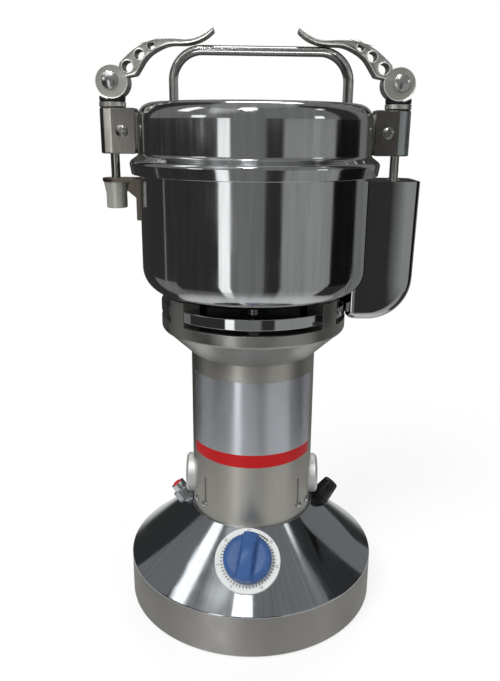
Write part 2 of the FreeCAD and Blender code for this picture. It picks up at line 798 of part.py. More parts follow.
def clamp_block():
    inner = lid_r + block_gap
    body = fused([disc(block_r, z_block, z_collar, clamp_x, 0),
                  block(inner, clamp_x, -block_r, block_r, z_block, z_collar)])
    body = softened(body, 0.8, is_block_end)
    channel = block(inner - 1.0, lug_nose() + 0.2, -lug_w / 2.0 - 0.1, lug_w / 2.0 + 0.1,
                    clamp_mid() - lug_h / 2.0 - 0.1, clamp_mid() + lug_h / 2.0 + 0.1)
    body = body.cut(channel)
    body = body.cut(disc(rod_r + slide_gap, z_block - 1.0, z_collar + 1.0, clamp_x, 0))
    return body.cut(cross_pin(screw_r - 0.2, -block_r - 1.0, block_r + 1.0, clamp_screw_x(), clamp_mid()))


def is_block_end(edge):
    return abs(abs(edge.CenterOfMass.z - clamp_mid()) - block_h / 2.0) < 0.01


def clamp_screw():
    """Cross-head screw through the block and the ear."""
    shank = cross_pin(screw_r - 0.25, -block_r, block_r - 1.0, 0, 0)
    head = turned([(0, 0), (clamp_screw_head, 0), (clamp_screw_head, 0.6), dome(clamp_screw_head, 0.6, 1.3)])
    cross = fused([block(-2.2, 2.2, -0.45, 0.45, 0.6, 3.0), block(-0.45, 0.45, -2.2, 2.2, 0.6, 3.0)])
    head = moved(head.cut(cross), Placement(Vector(0, -block_r, 0), Rotation(Vector(1, 0, 0), 90.0)))
    screw = shank.fuse(head)
    screw.translate(Vector(clamp_screw_x(), 0, clamp_mid()))
    return screw


def clamp_collar():
    """Turned washer that carries the saddle."""
    profile = [(rod_r + slide_gap, z_collar), (collar_r - 0.8, z_collar), (collar_r, z_collar + 0.8),
               (collar_r, z_saddle - 0.8), (collar_r - 0.8, z_saddle), (saddle_r - 1.3, z_saddle),
               (saddle_r - 1.3, z_saddle - saddle_sink), (rod_r + slide_gap, z_saddle - saddle_sink)]
    collar = turned(profile)
    collar.translate(Vector(clamp_x, 0, 0))
    return collar


def cam_saddle():
    """Plastic seat with a hollow that the cam rolls in."""
    low = z_saddle - saddle_sink
    body = fused([disc(saddle_r - 1.4, low, z_saddle, clamp_x, 0),
                  disc(saddle_r, z_saddle, z_saddle + saddle_rise, clamp_x, 0)])
    hollow_x = clamp_x - cam_in / 4.0
    body = body.cut(cross_pin(saddle_curve, -block_r - 2.0, block_r + 2.0, hollow_x, z_hollow + saddle_curve))
    return body.cut(disc(rod_r + slide_gap, low - 1.0, z_saddle + saddle_rise + 1.0, clamp_x, 0))


def rod_foot():
    return z_bracket - bracket_t - socket_h + socket_floor + rod_end_gap


def clamp_rod():
    """Tie rod with a flat eye at the top for the lever's pin."""
    stem = disc(rod_r, rod_foot(), z_pivot - 3.0, clamp_x, 0)
    point = turned([(0, 0), (rod_r - 1.0, 0), (rod_r, 1.0), (rod_r, 2.0), (0, 2.0)])
    point.translate(Vector(clamp_x, 0, rod_foot()))
    stem = stem.cut(disc(rod_r + 1.0, rod_foot() - 1.0, rod_foot() + 1.5, clamp_x, 0)).fuse(point)
    eye = cross_pin(rod_eye_r, -rod_eye_w / 2.0, rod_eye_w / 2.0, clamp_x, z_pivot)
    rod = fused([stem, eye])
    return rod.cut(cross_pin(pin_r + 0.05, -rod_eye_w, rod_eye_w, clamp_x, z_pivot))


def spline(points, y):
    curve = Part.BSplineCurve()
    curve.interpolate([Vector(x, y, z) for x, z in points])
    return curve.toShape()


def lever_plate(y_low, y_high):
    """Lever about its pivot, tip inboard and turned up; the cam covers its last three corners."""
    upper, lower, corners = lever_top, lever_under[:-2], lever_under[-2:]
    line = [spline(upper, y_low),
            Part.makeLine(Vector(upper[-1][0], y_low, upper[-1][1]), Vector(lower[0][0], y_low, lower[0][1])),
            spline(lower, y_low)]
    end = lower[-1]
    for point in corners + upper[:1]:
        line.append(Part.makeLine(Vector(end[0], y_low, end[1]), Vector(point[0], y_low, point[1])))
        end = point
    arm = Part.Face(Part.Wire(line)).extrude(Vector(0, y_high - y_low, 0))
    cam = cross_pin(cam_r, y_low, y_high, -cam_in, -cam_down)
    return fused([arm, cam])


def fork_slot():
    """Room for the rod between the cheeks as the lever turns."""
    half = fork_w / 2.0
    reach = cam_r + 4.0
    side = rod_r + 0.45
    round_room = cross_pin(rod_eye_r + 0.45, -half, half, 0, 0)
    down = block(-side, side, -half, half, -reach, 0)
    opened = down.copy()
    opened.rotate(ORIGIN, Vector(0, 1, 0), -lever_range)
    swept = side_plate([(0, 0), corner_point(0, 0, reach, -90.0),
                        corner_point(0, 0, reach, lever_range - 90.0)
                        + corner_point(0, 0, reach, lever_range / 2.0 - 90.0)], -half, half)
    return fused([round_room, down, opened, swept])


def cam_lever():
    """Cast lever with two cam cheeks, three holes and an upturned tip."""
    half = lever_w / 2.0
    lever = lever_plate(-half, half)
    for x, z, radius in lever_holes:
        lever = lever.cut(cross_pin(radius, -half - 1.0, half + 1.0, x, z))
    lever = lever.cut(fork_slot())
    lever = lever.cut(cross_pin(pin_r, -half - 1.0, half + 1.0, 0, 0))
    lever.translate(Vector(clamp_x, 0, z_pivot))
    return lever


def lever_pin():
    """Pivot pin with a domed head on each end."""
    half = lever_w / 2.0
    pin = cross_pin(pin_r - 0.02, -half, half, 0, 0)
    head = turned([(0, 0), (pin_head_r, 0), (pin_head_r, 0.5), dome(pin_head_r, 0.5, pin_head_h - 0.5)])
    near = moved(head, Placement(Vector(0, -half, 0), Rotation(Vector(1, 0, 0), 90.0)))
    far = moved(head, Placement(Vector(0, half, 0), Rotation(Vector(1, 0, 0), -90.0)))
    pin = fused([pin, near, far])
    pin.translate(Vector(clamp_x, 0, z_pivot))
    return pin


# ---------------------------------------------------------------- controls on the cone
def timer_dial():
    """Dial plate whose back is shaped to the cone."""
    plate = disc(dial_r, -4.0, dial_t)
    plate = softened(plate, 0.5, lambda edge: abs(edge.CenterOfMass.z - dial_t) < 0.01)
    plate = plate.cut(disc(timer_shaft + 1.0, -5.0, dial_t + 1.0))
    return moved(plate, dial_place).cut(cone_filled())


def timer_knob():
    """Round knob with a raised finger bar across it."""
    low = dial_t + knob_gap
    side = low + knob_skirt
    body = turned([(0, low), (knob_r, low), (knob_r, side - 4.0),
                   (knob_r - 4.5, side, knob_r - 1.1, side - 1.2), (0, side)])
    top, foot = grip_bar_w / 2.0, grip_bar_foot / 2.0
    bar = side_plate([(-foot, low + 1.0), (foot, low + 1.0), (top, low + knob_h), (-top, low + knob_h)],
                     -knob_r, knob_r)
    bar = bar.common(turned([(0, low), (knob_r, low), (knob_r, low + knob_h - 5.0),
                             dome(knob_r, low + knob_h - 5.0, 5.0)]))
    knob = fused([body, bar])
    knob.rotate(ORIGIN, Z, knob_tilt)
    shaft_hole = disc(timer_shaft, low - 1.0, low + 6.0)
    return moved(knob.cut(shaft_hole), dial_place)


def timer_stem():
    low = dial_t + knob_gap
    return moved(disc(timer_shaft - 0.05, -base_wall - 3.0, low + 6.0), dial_place)


def timer_body():
    """Clockwork case with its fixing bush behind the cone."""
    half = timer_size / 2.0
    top = -base_wall - 3.0
    body = block(-half, half, -half, half, top - timer_depth, top)
    body = softened(body, 2.0, lambda edge: abs(edge.Length - timer_depth) < 0.01)
    body = body.fuse(disc(6.0, top - 0.2, -base_wall - 0.25))
    return moved(body.cut(disc(timer_shaft + 0.9, top - 0.5, 1.0)), dial_place)


def hexagon(radius, low, high):
    corners = []
    for index in range(6):
        corners.append(corner_point(0.0, 0.0, radius, 60.0 * index))
    wire = Part.makePolygon([Vector(x, y, low) for x, y in corners + corners[:1]])
    return Part.Face(wire).extrude(Vector(0, 0, high - low))


def reset_collar():
    """Threaded bush and hexagon nut of the overload reset."""
    nut = hexagon(hex_r, -2.0, hex_h)
    bush = disc(bush_r, -base_wall - 3.0, bush_h)
    bore = disc(button_r + slide_gap, -base_wall - 4.0, bush_h + 1.0)
    shell = moved(nut.cut(disc(bush_r, -3.0, hex_h + 1.0)), button_place).cut(cone_filled())
    return shell.fuse(moved(bush.cut(bore), button_place)).removeSplitter()


def reset_button():
    low = bush_h - button_guide
    top = bush_h + button_out
    button = turned([(0, low), (button_r, low), (button_r, top - 1.0), dome(button_r, top - 1.0, 1.0)])
    return moved(button, button_place)


def reset_body():
    top = -base_wall - 3.0
    case = disc(reset_case_r, top - socket_depth, top)
    return moved(case, button_place)


def fuse_holder():
    """Panel fuse holder: flange outside, barrel behind the cone."""
    flange = moved(disc(fuse_flange_r, -2.0, fuse_flange_h), fuse_place).cut(cone_filled())
    barrel = moved(disc(fuse_body_r, -socket_depth, fuse_flange_h / 4.0), fuse_place)
    holder = flange.fuse(barrel).removeSplitter()
    return holder.cut(moved(disc(fuse_body_r - 1.6, -socket_depth / 2.0, fuse_flange_h + 1.0), fuse_place))


def fuse_cap():
    """Ribbed cap that turns to free the fuse."""
    low = fuse_flange_h + fuse_cap_gap
    top = low + fuse_cap_h
    cap = turned([(0, low), (fuse_cap_r, low), (fuse_cap_top, top - 0.8), (fuse_cap_top - 0.8, top), (0, top)])
    for index in range(12):
        angle = math.radians(30.0 * index)
        groove = disc(0.7, low + 3.0, top + 1.0, fuse_cap_top * math.cos(angle), fuse_cap_top * math.sin(angle))
        cap = cap.cut(groove)
    cap = cap.cut(block(-4.0, 4.0, -0.7, 0.7, top - 1.2, top + 1.0))
    spigot = disc(fuse_body_r - 1.9, low - 8.0, low + 0.5)
    return moved(cap.fuse(spigot), fuse_place)


# ---------------------------------------------------------------- motor
z_lower_bearing = z_seat + bracket_plate
z_armature = z_seat + armature_up
z_fan = z_armature + armature_len + coil_proud + fan_clear
z_hub = z_bowl + bowl_floor + blade_base


def bearing_bracket():
    """Spider at the foot of the tube that holds the lower bearing."""
    outer = tube_r - tube_wall - 0.1
    hub = bearing_r + 3.0
    spider = turned([(shaft_r + 1.5, z_seat), (outer, z_seat), (outer, z_seat + bracket_plate),
                     (hub, z_seat + bracket_plate), (hub, z_lower_bearing + bearing_t),
                     (bearing_r, z_lower_bearing + bearing_t), (bearing_r, z_lower_bearing),
                     (shaft_r + 1.5, z_lower_bearing)])
    for index in range(4):
        window = sector(outer - 7.0, hub + 4.0, z_seat - 1.0, z_seat + bracket_plate + 1.0,
                        index * 90.0 + 45.0, 32.0)
        spider = spider.cut(window)
    return spider


def ball_bearing(low, bore_gap):
    inner = shaft_r + bore_gap
    high = low + bearing_t
    race = 1.9
    return turned([(inner, low), (inner + race, low), (inner + race, low + 0.6),
                   (bearing_r - race, low + 0.6), (bearing_r - race, low), (bearing_r, low),
                   (bearing_r, high), (bearing_r - race, high), (bearing_r - race, high - 0.6),
                   (inner + race, high - 0.6), (inner + race, high), (inner, high)])


def stator():
    outer = tube_r - tube_wall - stator_gap
    high = z_armature + armature_len
    yoke = ring(outer, outer - stator_yoke, z_armature, high)
    poles = []
    for azimuth in (0.0, 180.0):
        poles.append(sector(outer - stator_yoke + 0.5, armature_r + air_gap, z_armature, high,
                            azimuth, pole_half - pole_neck))
        poles.append(sector(armature_r + air_gap + shoe_t, armature_r + air_gap, z_armature, high,
                            azimuth, pole_half))
    return fused([yoke] + poles)


def field_coils():
    """Two saddle coils around the poles."""
    outer = tube_r - tube_wall - stator_gap - stator_yoke - coil_gap
    inner = outer - coil_t
    low, high = z_armature - coil_proud, z_armature + armature_len + coil_proud
    coils = []
    for azimuth in (0.0, 180.0):
        coil = sector(outer, inner, low, high, azimuth, coil_half)
        pole = sector(outer + 1.0, inner - 1.0, low + coil_proud - 0.3, high - coil_proud + 0.3,
                      azimuth, pole_half - pole_neck + 0.6)
        coils.append(coil.cut(pole))
    return group(coils)


def motor_shaft():
    top = z_hub + 3.0 * blade_step + nut_h
    thread = shaft_r - 0.6
    return turned([(0, z_seat - 6.0), (shaft_r - 0.5, z_seat - 6.0), (shaft_r, z_seat - 5.5),
                   (shaft_r, top - nut_h - 2.0), (thread, top - nut_h - 1.4), (thread, top), (0, top)])


def armature():
    core = ring(armature_r, shaft_r, z_armature, z_armature + armature_len)
    for index in range(12):
        angle = math.radians(30.0 * index)
        slot = disc(1.6, z_armature - 1.0, z_armature + armature_len + 1.0,
                    (armature_r - 0.6) * math.cos(angle), (armature_r - 0.6) * math.sin(angle))
        core = core.cut(slot)
    lower = ring(armature_r - 3.5, shaft_r, z_armature - 6.0, z_armature)
    upper = ring(armature_r - 3.5, shaft_r, z_armature + armature_len, z_armature + armature_len + 6.0)
    return fused([core, lower, upper])


def commutator():
    low = z_brush() - commutator_len / 2.0
    body = ring(commutator_r, shaft_r, low, low + commutator_len)
    collar = ring(commutator_r + 1.2, shaft_r, low + commutator_len, low + commutator_len + 1.5)
    return fused([body, collar])


def cooling_fan():
    """Radial fan: a hub, a back plate and straight blades."""
    hub = ring(fan_hub_r, shaft_r, z_fan, z_fan + fan_h + 2.0)
    plate = ring(fan_r, shaft_r, z_fan, z_fan + fan_back)
    parts = [hub, plate]
    for index in range(fan_blades):
        blade = block(-0.7, 0.7, -fan_r, 1.0 - fan_hub_r, z_fan + fan_back / 2.0, z_fan + fan_h)
        blade.rotate(Vector(0, -fan_r, 0), Z, 10.0)
        blade = blade.common(disc(fan_r, z_fan, z_fan + fan_h))
        parts.append(moved(blade, around(index * 360.0 / fan_blades)))
    return fused(parts)


# ---------------------------------------------------------------- cutters
def shaft_seal():
    """Felt and plastic ring on the bowl floor around the hub."""
    low = z_bowl + bowl_floor
    return ring(seal_ring_r, shaft_r + 0.4, low, low + seal_ring_h).fuse(
        ring(hub_r + hub_gap - 0.1, shaft_r + 0.4, z_bowl - 0.5, low)).removeSplitter()


def cutter_hub():
    low = z_bowl + bowl_floor + seal_ring_h + 0.5
    hub = ring(hub_r, shaft_r, low, z_hub)
    spacers = []
    for index in range(2):
        z = z_hub + index * blade_step + blade_t
        spacers.append(ring(hub_r, shaft_r, z, z + blade_step - blade_t))
    return group([hub] + spacers)


def blade(index):
    """One blade: flat at the hub, bent at both ends and ground to edges."""
    z = z_hub + index * blade_step
    half = blade_len / 2.0 - 4.0 * index
    bend = math.radians(blade_bends[index])
    tip_x = blade_flat / 2.0 + (half - blade_flat / 2.0) * math.cos(bend)
    tip_z = (half - blade_flat / 2.0) * math.sin(bend)
    flat = blade_flat / 2.0
    shape = side_plate([(-flat, z), (flat, z), (tip_x, z + tip_z), (tip_x, z + tip_z + blade_t),
                        (flat, z + blade_t), (-flat, z + blade_t), (-tip_x, z + tip_z + blade_t),
                        (-tip_x, z + tip_z)], -blade_w / 2.0, blade_w / 2.0)
    for side in (0.0, 180.0):
        low, edge_y, end = z - blade_len / 3.0, -blade_w / 2.0 - 0.1, half + 1.0
        root = Vector(hub_r + 2.0, edge_y, low)
        bevel = Part.Face(Part.makePolygon([root, Vector(end, edge_y, low), Vector(end, -2.0, low), root]))
        shape = shape.cut(moved(bevel.extrude(Z * blade_len), around(side)))
    shape = shape.cut(disc(shaft_r, z - 1.0, z + blade_t + 1.0))
    shape.rotate(ORIGIN, Z, blade_angles[index])
    return shape


def cutter_nut():
    low = z_hub + 2.0 * blade_step + blade_t
    washer = ring(hub_r, shaft_r - 0.6, low, low + 1.5)
    crown = turned([(0, low), (nut_r + 0.4, low), (nut_r + 0.4, low + nut_h - 1.5),
                    dome(nut_r + 0.4, low + nut_h - 1.5, nut_r - 0.5)])
    nut = hexagon(nut_r, low + 1.5, low + nut_h + nut_r).common(crown)
    bore = disc(shaft_r, low, z_hub + 3.0 * blade_step + nut_h - 1.4)
    return fused([washer, nut]).cut(bore)


# ---------------------------------------------------------------- all nodes

def both_sides(nodes, name, shape):
    nodes[name + "_right"] = shape
    nodes[name + "_left"] = mirrored(shape)


def pair(shape):
    """The piece and its mirror image in one node."""
    return group([shape, mirrored(shape)])


def all_nodes():
    holders, brushes, springs = brush_gear()
    nodes = {
        "base_housing": base_housing(),
        "base_cover": base_cover(),
        "base_feet": base_feet(),
        "base_cover_screws": base_cover_screws(),
        "cable_inlet": cable_inlet(),
        "motor_housing": motor_housing(),
        "housing_screws": housing_screws(),
        "brush_cap_right": brush_cap(90.0),
        "brush_cap_left": brush_cap(270.0),
        "brush_holders": holders,
        "carbon_brushes": brushes,
        "brush_springs": springs,
        "neck_casting": neck_casting(),
        "bearing_plate": bearing_plate(),
        "neck_screws": group([neck_screws(), bowl_screws()]),
        "bowl": bowl(),
        "bracket_left": bracket_left(),
        "rod_socket_left": socket(-clamp_x, z_bracket, bracket_t),
        "side_handle": side_handle(),
        "rod_socket_right": socket(clamp_x, z_grip, grip_wall),
        "lid_shell": lid_shell(),
        "lid_seal": lid_seal(),
        "lid_handle": lid_handle(),
        "lid_handle_screws": lid_handle_screws(),
        "lid_lugs": pair(lid_lug()),
        "clamp_screws": pair(clamp_screw()),
        "clamp_collars": pair(clamp_collar()),
        "cam_saddles": pair(cam_saddle()),
        "timer_dial": timer_dial(),
        "timer_knob": timer_knob(),
        "timer_stem": timer_stem(),
        "timer_body": timer_body(),
        "reset_collar": reset_collar(),
        "reset_button": reset_button(),
        "reset_body": reset_body(),
        "fuse_holder": fuse_holder(),
        "fuse_cap": fuse_cap(),
        "bearing_bracket": bearing_bracket(),
        "lower_bearing": ball_bearing(z_lower_bearing, shaft_gap),
        "upper_bearing": ball_bearing(z_plate_top - 1.0 - bearing_t, shaft_gap),
        "stator": stator(),
        "field_coils": field_coils(),
        "motor_shaft": motor_shaft(),
        "armature": armature(),
        "commutator": commutator(),
        "cooling_fan": cooling_fan(),
        "shaft_seal": shaft_seal(),
        "cutter_spacers": cutter_hub(),
        "blade_lower": blade(0),
        "blade_middle": blade(1),
        "blade_upper": blade(2),
        "cutter_nut": cutter_nut(),
    }
    both_sides(nodes, "clamp_block", clamp_block())
    return nodes


def moving_nodes():
    nodes = {}
    both_sides(nodes, "clamp_rod", clamp_rod())
    both_sides(nodes, "cam_lever", cam_lever())
    both_sides(nodes, "lever_pin", lever_pin())
    return nodes


def main():
    os.makedirs("parts", exist_ok=True)
    nodes = all_nodes()
    nodes.update(moving_nodes())
    for name in sorted(nodes):
        shape = nodes[name]
        if not shape.isValid():
            print("not valid:", name)
        shape.exportStep("parts/" + name + ".step")
    print(len(nodes), "nodes")


main()
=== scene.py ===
"""Dresses a countertop dry grinder: spun, cast, pressed and moulded pieces around its frame."""
import json
import math

import bpy
from mathutils import Matrix, Vector


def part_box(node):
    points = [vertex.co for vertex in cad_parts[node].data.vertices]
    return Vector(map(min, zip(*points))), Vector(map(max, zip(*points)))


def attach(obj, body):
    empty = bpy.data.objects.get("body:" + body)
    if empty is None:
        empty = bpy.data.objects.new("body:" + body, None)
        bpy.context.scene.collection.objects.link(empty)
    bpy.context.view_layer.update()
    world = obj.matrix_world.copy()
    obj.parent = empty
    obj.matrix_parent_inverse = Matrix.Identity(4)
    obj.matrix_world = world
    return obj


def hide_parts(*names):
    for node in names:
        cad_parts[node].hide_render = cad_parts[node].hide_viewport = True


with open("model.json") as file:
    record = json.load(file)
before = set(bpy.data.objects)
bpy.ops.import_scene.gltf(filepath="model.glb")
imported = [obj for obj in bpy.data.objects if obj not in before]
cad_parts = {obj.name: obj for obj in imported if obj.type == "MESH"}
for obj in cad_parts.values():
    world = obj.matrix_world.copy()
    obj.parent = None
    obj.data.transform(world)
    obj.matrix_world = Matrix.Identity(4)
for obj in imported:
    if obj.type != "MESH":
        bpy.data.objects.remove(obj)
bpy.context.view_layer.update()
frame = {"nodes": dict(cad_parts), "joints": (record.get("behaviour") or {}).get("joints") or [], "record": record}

bl_info = {
    "name": "Countertop Grinder",
    "version": (1, 0, 0),
    "blender": (4, 5, 0),
    "location": "View3D > Sidebar > Grinder",
    "description": "Spun, cast, pressed and moulded pieces of a countertop dry grinder",
    "category": "Add Mesh",
}

MM = 0.001
Z_AXIS = Vector((0.0, 0.0, 1.0))

# ---------------------------------------------------------------- measures read from the frame
bowl_low, bowl_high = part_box("bowl")
lid_low, lid_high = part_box("lid_shell")
base_low, base_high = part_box("base_housing")
tube_low, tube_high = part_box("motor_housing")
grip_low, grip_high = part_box("side_handle")
neck_low, neck_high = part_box("neck_casting")
rod_low, rod_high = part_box("clamp_rod_right")


def joint_named(name):
    for joint in frame["joints"]:
        if joint["name"] == name:
            return joint
    raise RuntimeError("no joint " + name)


TIMER = joint_named("timer_knob_turn")
timer_point = Vector(TIMER["pos_m"])
timer_out = -Vector(TIMER["axis"]).normalized()


# ---------------------------------------------------------------- colours
def from_hex(text):
    """sRGB hex to linear red, green and blue."""
    channels = [int(text[start:start + 2], 16) / 255.0 for start in (1, 3, 5)]
    return tuple(c / 12.92 if c <= 0.04045 else ((c + 0.055) / 1.055) ** 2.4 for c in channels)


def opaque(colour):
    """A colour with full alpha, as colour sockets take it."""
    return tuple(colour)[:3] + (1.0,)


def dimmed(colour, share):
    """A darker or paler shade of a colour."""
    return opaque(channel * share for channel in tuple(colour)[:3])


# ---------------------------------------------------------------- what a user would change
def length(name, description, default_mm, low_mm=0.0):
    """Property for a length that is given in millimetres and kept in metres."""
    return bpy.props.FloatProperty(name=name, description=description, default=default_mm * MM,
                                   min=low_mm * MM, unit="LENGTH")


def shade(name, description, default):
    """Property for the colour of a finish, given as sRGB hex."""
    return bpy.props.FloatVectorProperty(name=name, description=description, default=from_hex(default),
                                         subtype="COLOR", size=3)


class GrinderSizes(bpy.types.PropertyGroup):
    """Sizes of the dressing, in metres."""
    turns: bpy.props.IntProperty(
        name="Lathe Steps", description="Facets around a turned piece", default=192, min=24)
    skirt_height: length("Skirt Height", "Height of the base's brushed skirt", 29.0)
    base_wall: length("Base Wall", "Thickness of the spun base", 2.0, 0.5)
    wall: length("Sheet Wall", "Thickness of the bowl and lid sheet", 1.5, 0.5)
    bowl_corner: length("Bowl Corner", "Outer radius between the bowl's wall and floor", 16.0)
    bowl_floor: length("Bowl Floor", "Thickness of the bowl's floor", 3.0)
    lid_corner: length("Lid Corner", "Outer radius around the top of the lid", 9.5)
    bead_height: length("Bead Height", "Height of the rolled bead at the foot of the lid", 11.5)
    foil_half: bpy.props.FloatProperty(
        name="Foil Half Width", description="Half of the label foil's width around the tube",
        default=math.radians(66.0), subtype="ANGLE")
    foil_low: length("Foil Foot", "Height of the stripe's lower edge at the front", 109.0)
    stripe_high: length("Stripe Top", "Height at which the red stripe ends and the foil starts", 117.8)
    foil_high: length("Foil Top", "Height of the foil's upper edge", 166.7)
    stripe_rise: length("Stripe Rise", "How far the stripe's lower edge rises towards its ends", 1.4)
    tick_count: bpy.props.IntProperty(name="Ticks", description="Ticks around the dial", default=50, min=4)
    tick_foot: length("Tick Foot", "Inner radius of the ticks", 16.0)
    tick_length: length("Tick Length", "Length of a tick", 1.6)
    tick_width: length("Tick Width", "Width of a tick", 0.55)
    number_radius: length("Number Radius", "Radius of the dial's numbers", 19.1)
    number_height: length("Number Height", "Height of the dial's numbers", 2.4)
    grip_bend: length("Handle Bend", "Outer radius of the side handle's lower corner", 27.0)
    grip_edge: length("Handle Edge", "Rounding along the side handle's edges", 6.0)


class GrinderColours(bpy.types.PropertyGroup):
    """Colours of the finishes."""
    stainless: shade("Stainless", "Buffed stainless sheet", "#C8CACB")
    spun: shade("Spun Aluminium", "Polished cone of the base", "#C3C8CC")
    skirt: shade("Brushed Aluminium", "Satin skirt of the base", "#A09E9A")
    tube: shade("Anodised Aluminium", "Satin motor tube", "#C0BEB7")
    cast: shade("Cast Aluminium", "Tumbled casting of the neck", "#B4B3AE")
    zinc: shade("Cast Zinc", "Tumbled cam levers", "#C0C0B9")
    knob: shade("Knob Blue", "Moulded timer knob", "#3A5788")
    dial: shade("Dial White", "Moulded dial plate", "#CDD0CE")
    stripe: shade("Stripe Red", "Printed stripe on the foil", "#B00C10")


def sizes():
    return bpy.context.scene.grinder_sizes


def colours():
    return bpy.context.scene.grinder_colours


# ---------------------------------------------------------------- materials
# Patterns are sized in millimetres after the real ones. Lines and skins that are too fine to show, such as
# brush lines and the grain of a mould, are drawn as coarse as they need to show.
def add_node(tree, kind, settings=None, values=None, links=None):
    """One shader node with its settings, socket values and links as (node, output)."""
    new = tree.nodes.new(kind)
    for key, value in (settings or {}).items():
        setattr(new, key, value)
    for key, value in (values or {}).items():
        new.inputs[key].default_value = value
    for key, (source, output) in (links or {}).items():
        tree.links.new(source.outputs[output], new.inputs[key])
    return new


def finish(name, colour, **sockets):
    """A new material with its shader's constant values set on their own sockets."""
    material = bpy.data.materials.new(name)
    material.use_nodes = True
    shader = material.node_tree.nodes["Principled BSDF"]
    shader.inputs["Base Color"].default_value = opaque(colour)
    for key, value in sockets.items():
        shader.inputs[key.replace("_", " ").title().replace("Ior", "IOR")].default_value = value
    return material, material.node_tree, shader


def noise(tree, size_mm, detail=3.0, roughness=0.5, stretch=(1.0, 1.0, 1.0)):
    """Noise with features about size_mm across, drawn out along an axis whose stretch is small."""
    coords = add_node(tree, "ShaderNodeTexCoord")
    mapping = add_node(tree, "ShaderNodeMapping", values={"Scale": stretch},
                       links={"Vector": (coords, "Object")})
    return add_node(tree, "ShaderNodeTexNoise",
                    values={"Scale": 1.0 / (size_mm * MM), "Detail": detail, "Roughness": roughness},
                    links={"Vector": (mapping, "Vector")})


def rough(tree, shader, source, low, high, start=0.3, end=0.7, output="Fac"):
    """Roughness from low to high where the source goes from start to end."""
    spread = add_node(tree, "ShaderNodeMapRange",
                      values={"From Min": start, "From Max": end, "To Min": low, "To Max": high},
                      links={"Value": (source, output)})
    tree.links.new(spread.outputs["Result"], shader.inputs["Roughness"])


def bumped(tree, shader, source, depth_mm, strength):
    """A relief of depth_mm that follows the source."""
    bump = add_node(tree, "ShaderNodeBump", values={"Strength": strength, "Distance": depth_mm * MM},
                    links={"Height": (source, "Fac")})
    tree.links.new(bump.outputs["Normal"], shader.inputs["Normal"])


def tinted(tree, shader, source, colour, share_low, share_high):
    """Base colour that varies between two shades of itself."""
    mix = add_node(tree, "ShaderNodeMix", {"data_type": "RGBA"},
                   {"A": dimmed(colour, share_low), "B": dimmed(colour, share_high)},
                   {"Factor": (source, "Fac")})
    tree.links.new(mix.outputs["Result"], shader.inputs["Base Color"])


def turned_tangent(tree, shader, share):
    """Lathe lines around Z: reflections stay crisp along them and stretch across them."""
    tangent = add_node(tree, "ShaderNodeTangent", {"direction_type": "RADIAL", "axis": "Z"})
    tree.links.new(tangent.outputs["Tangent"], shader.inputs["Tangent"])
    shader.inputs["Anisotropic"].default_value = share
    shader.inputs["Anisotropic Rotation"].default_value = 0.25


def buffed_stainless():
    """Stainless sheet, deep drawn and buffed: mirror bright and hazy, with upright streaks painted into its
    colour, partly draw lines and partly painted reflection streaks.
    """
    colour = colours().stainless
    material, tree, shader = finish("stainless sheet drawn and buffed", colour, metallic=1.0)
    lines = noise(tree, 1.4, detail=4.0, stretch=(1.0, 1.0, 0.02))
    streaks = noise(tree, 5.0, detail=4.0, roughness=0.7, stretch=(1.0, 1.0, 0.05))
    haze = noise(tree, 24.0)
    both = add_node(tree, "ShaderNodeMath", {"operation": "MULTIPLY"},
                    links={0: (streaks, "Fac"), 1: (haze, "Fac")})
    rough(tree, shader, both, 0.06, 0.17, start=0.1, end=0.42, output="Value")
    bumped(tree, shader, lines, 0.006, 0.25)
    # paler and darker upright streaks: partly the sheet's draw lines, partly painted reflection streaks
    tinted(tree, shader, streaks, colour, 0.66, 1.24)
    turned_tangent(tree, shader, 0.75)
    return material


def polished_sheet():
    """Stainless sheet, folded and mirror polished: flat clear reflections with a few dull patches."""
    colour = colours().stainless
    material, tree, shader = finish("stainless sheet polished", colour, metallic=1.0)
    streaks = noise(tree, 4.0, detail=4.0, roughness=0.6, stretch=(1.0, 1.0, 0.08))
    haze = noise(tree, 14.0)
    rough(tree, shader, haze, 0.02, 0.06)
    tinted(tree, shader, streaks, colour, 0.85, 1.08)
    return material


def polished_cone():
    """Spun aluminium, lathe polished: fine rings draw reflections into wedges, and paler and duller rays around
    the axis are painted into its colour as a painted sheen.
    """
    colour = colours().spun
    material, tree, shader = finish("aluminium spun and polished", colour, metallic=1.0)
    coords = add_node(tree, "ShaderNodeTexCoord")
    split = add_node(tree, "ShaderNodeSeparateXYZ", links={"Vector": (coords, "Object")})
    flat = add_node(tree, "ShaderNodeCombineXYZ", links={"X": (split, "X"), "Y": (split, "Y")})
    radius = add_node(tree, "ShaderNodeVectorMath", {"operation": "LENGTH"},
                      links={"Vector": (flat, "Vector")})
    ring_width = 0.8 * MM
    rings = add_node(tree, "ShaderNodeTexNoise", {"noise_dimensions": "1D"},
                     {"Scale": 1.0 / ring_width, "Detail": 3.0}, {"W": (radius, "Value")})
    haze = noise(tree, 15.0)
    rough(tree, shader, haze, 0.07, 0.14)
    bumped(tree, shader, rings, 0.004, 0.2)
    # paler and duller rays around the axis, random in strength: a painted sheen standing in for the rings'
    # reflection wedges
    turn = add_node(tree, "ShaderNodeMath", {"operation": "ARCTAN2"},
                    links={0: (split, "Y"), 1: (split, "X")})
    rays_per_radian = 26.0
    rays = add_node(tree, "ShaderNodeTexNoise", {"noise_dimensions": "1D"},
                    {"Scale": rays_per_radian, "Detail": 5.0, "Roughness": 0.7}, {"W": (turn, "Value")})
    tinted(tree, shader, rays, colour, 0.72, 1.22)
    turned_tangent(tree, shader, 0.7)
    return material


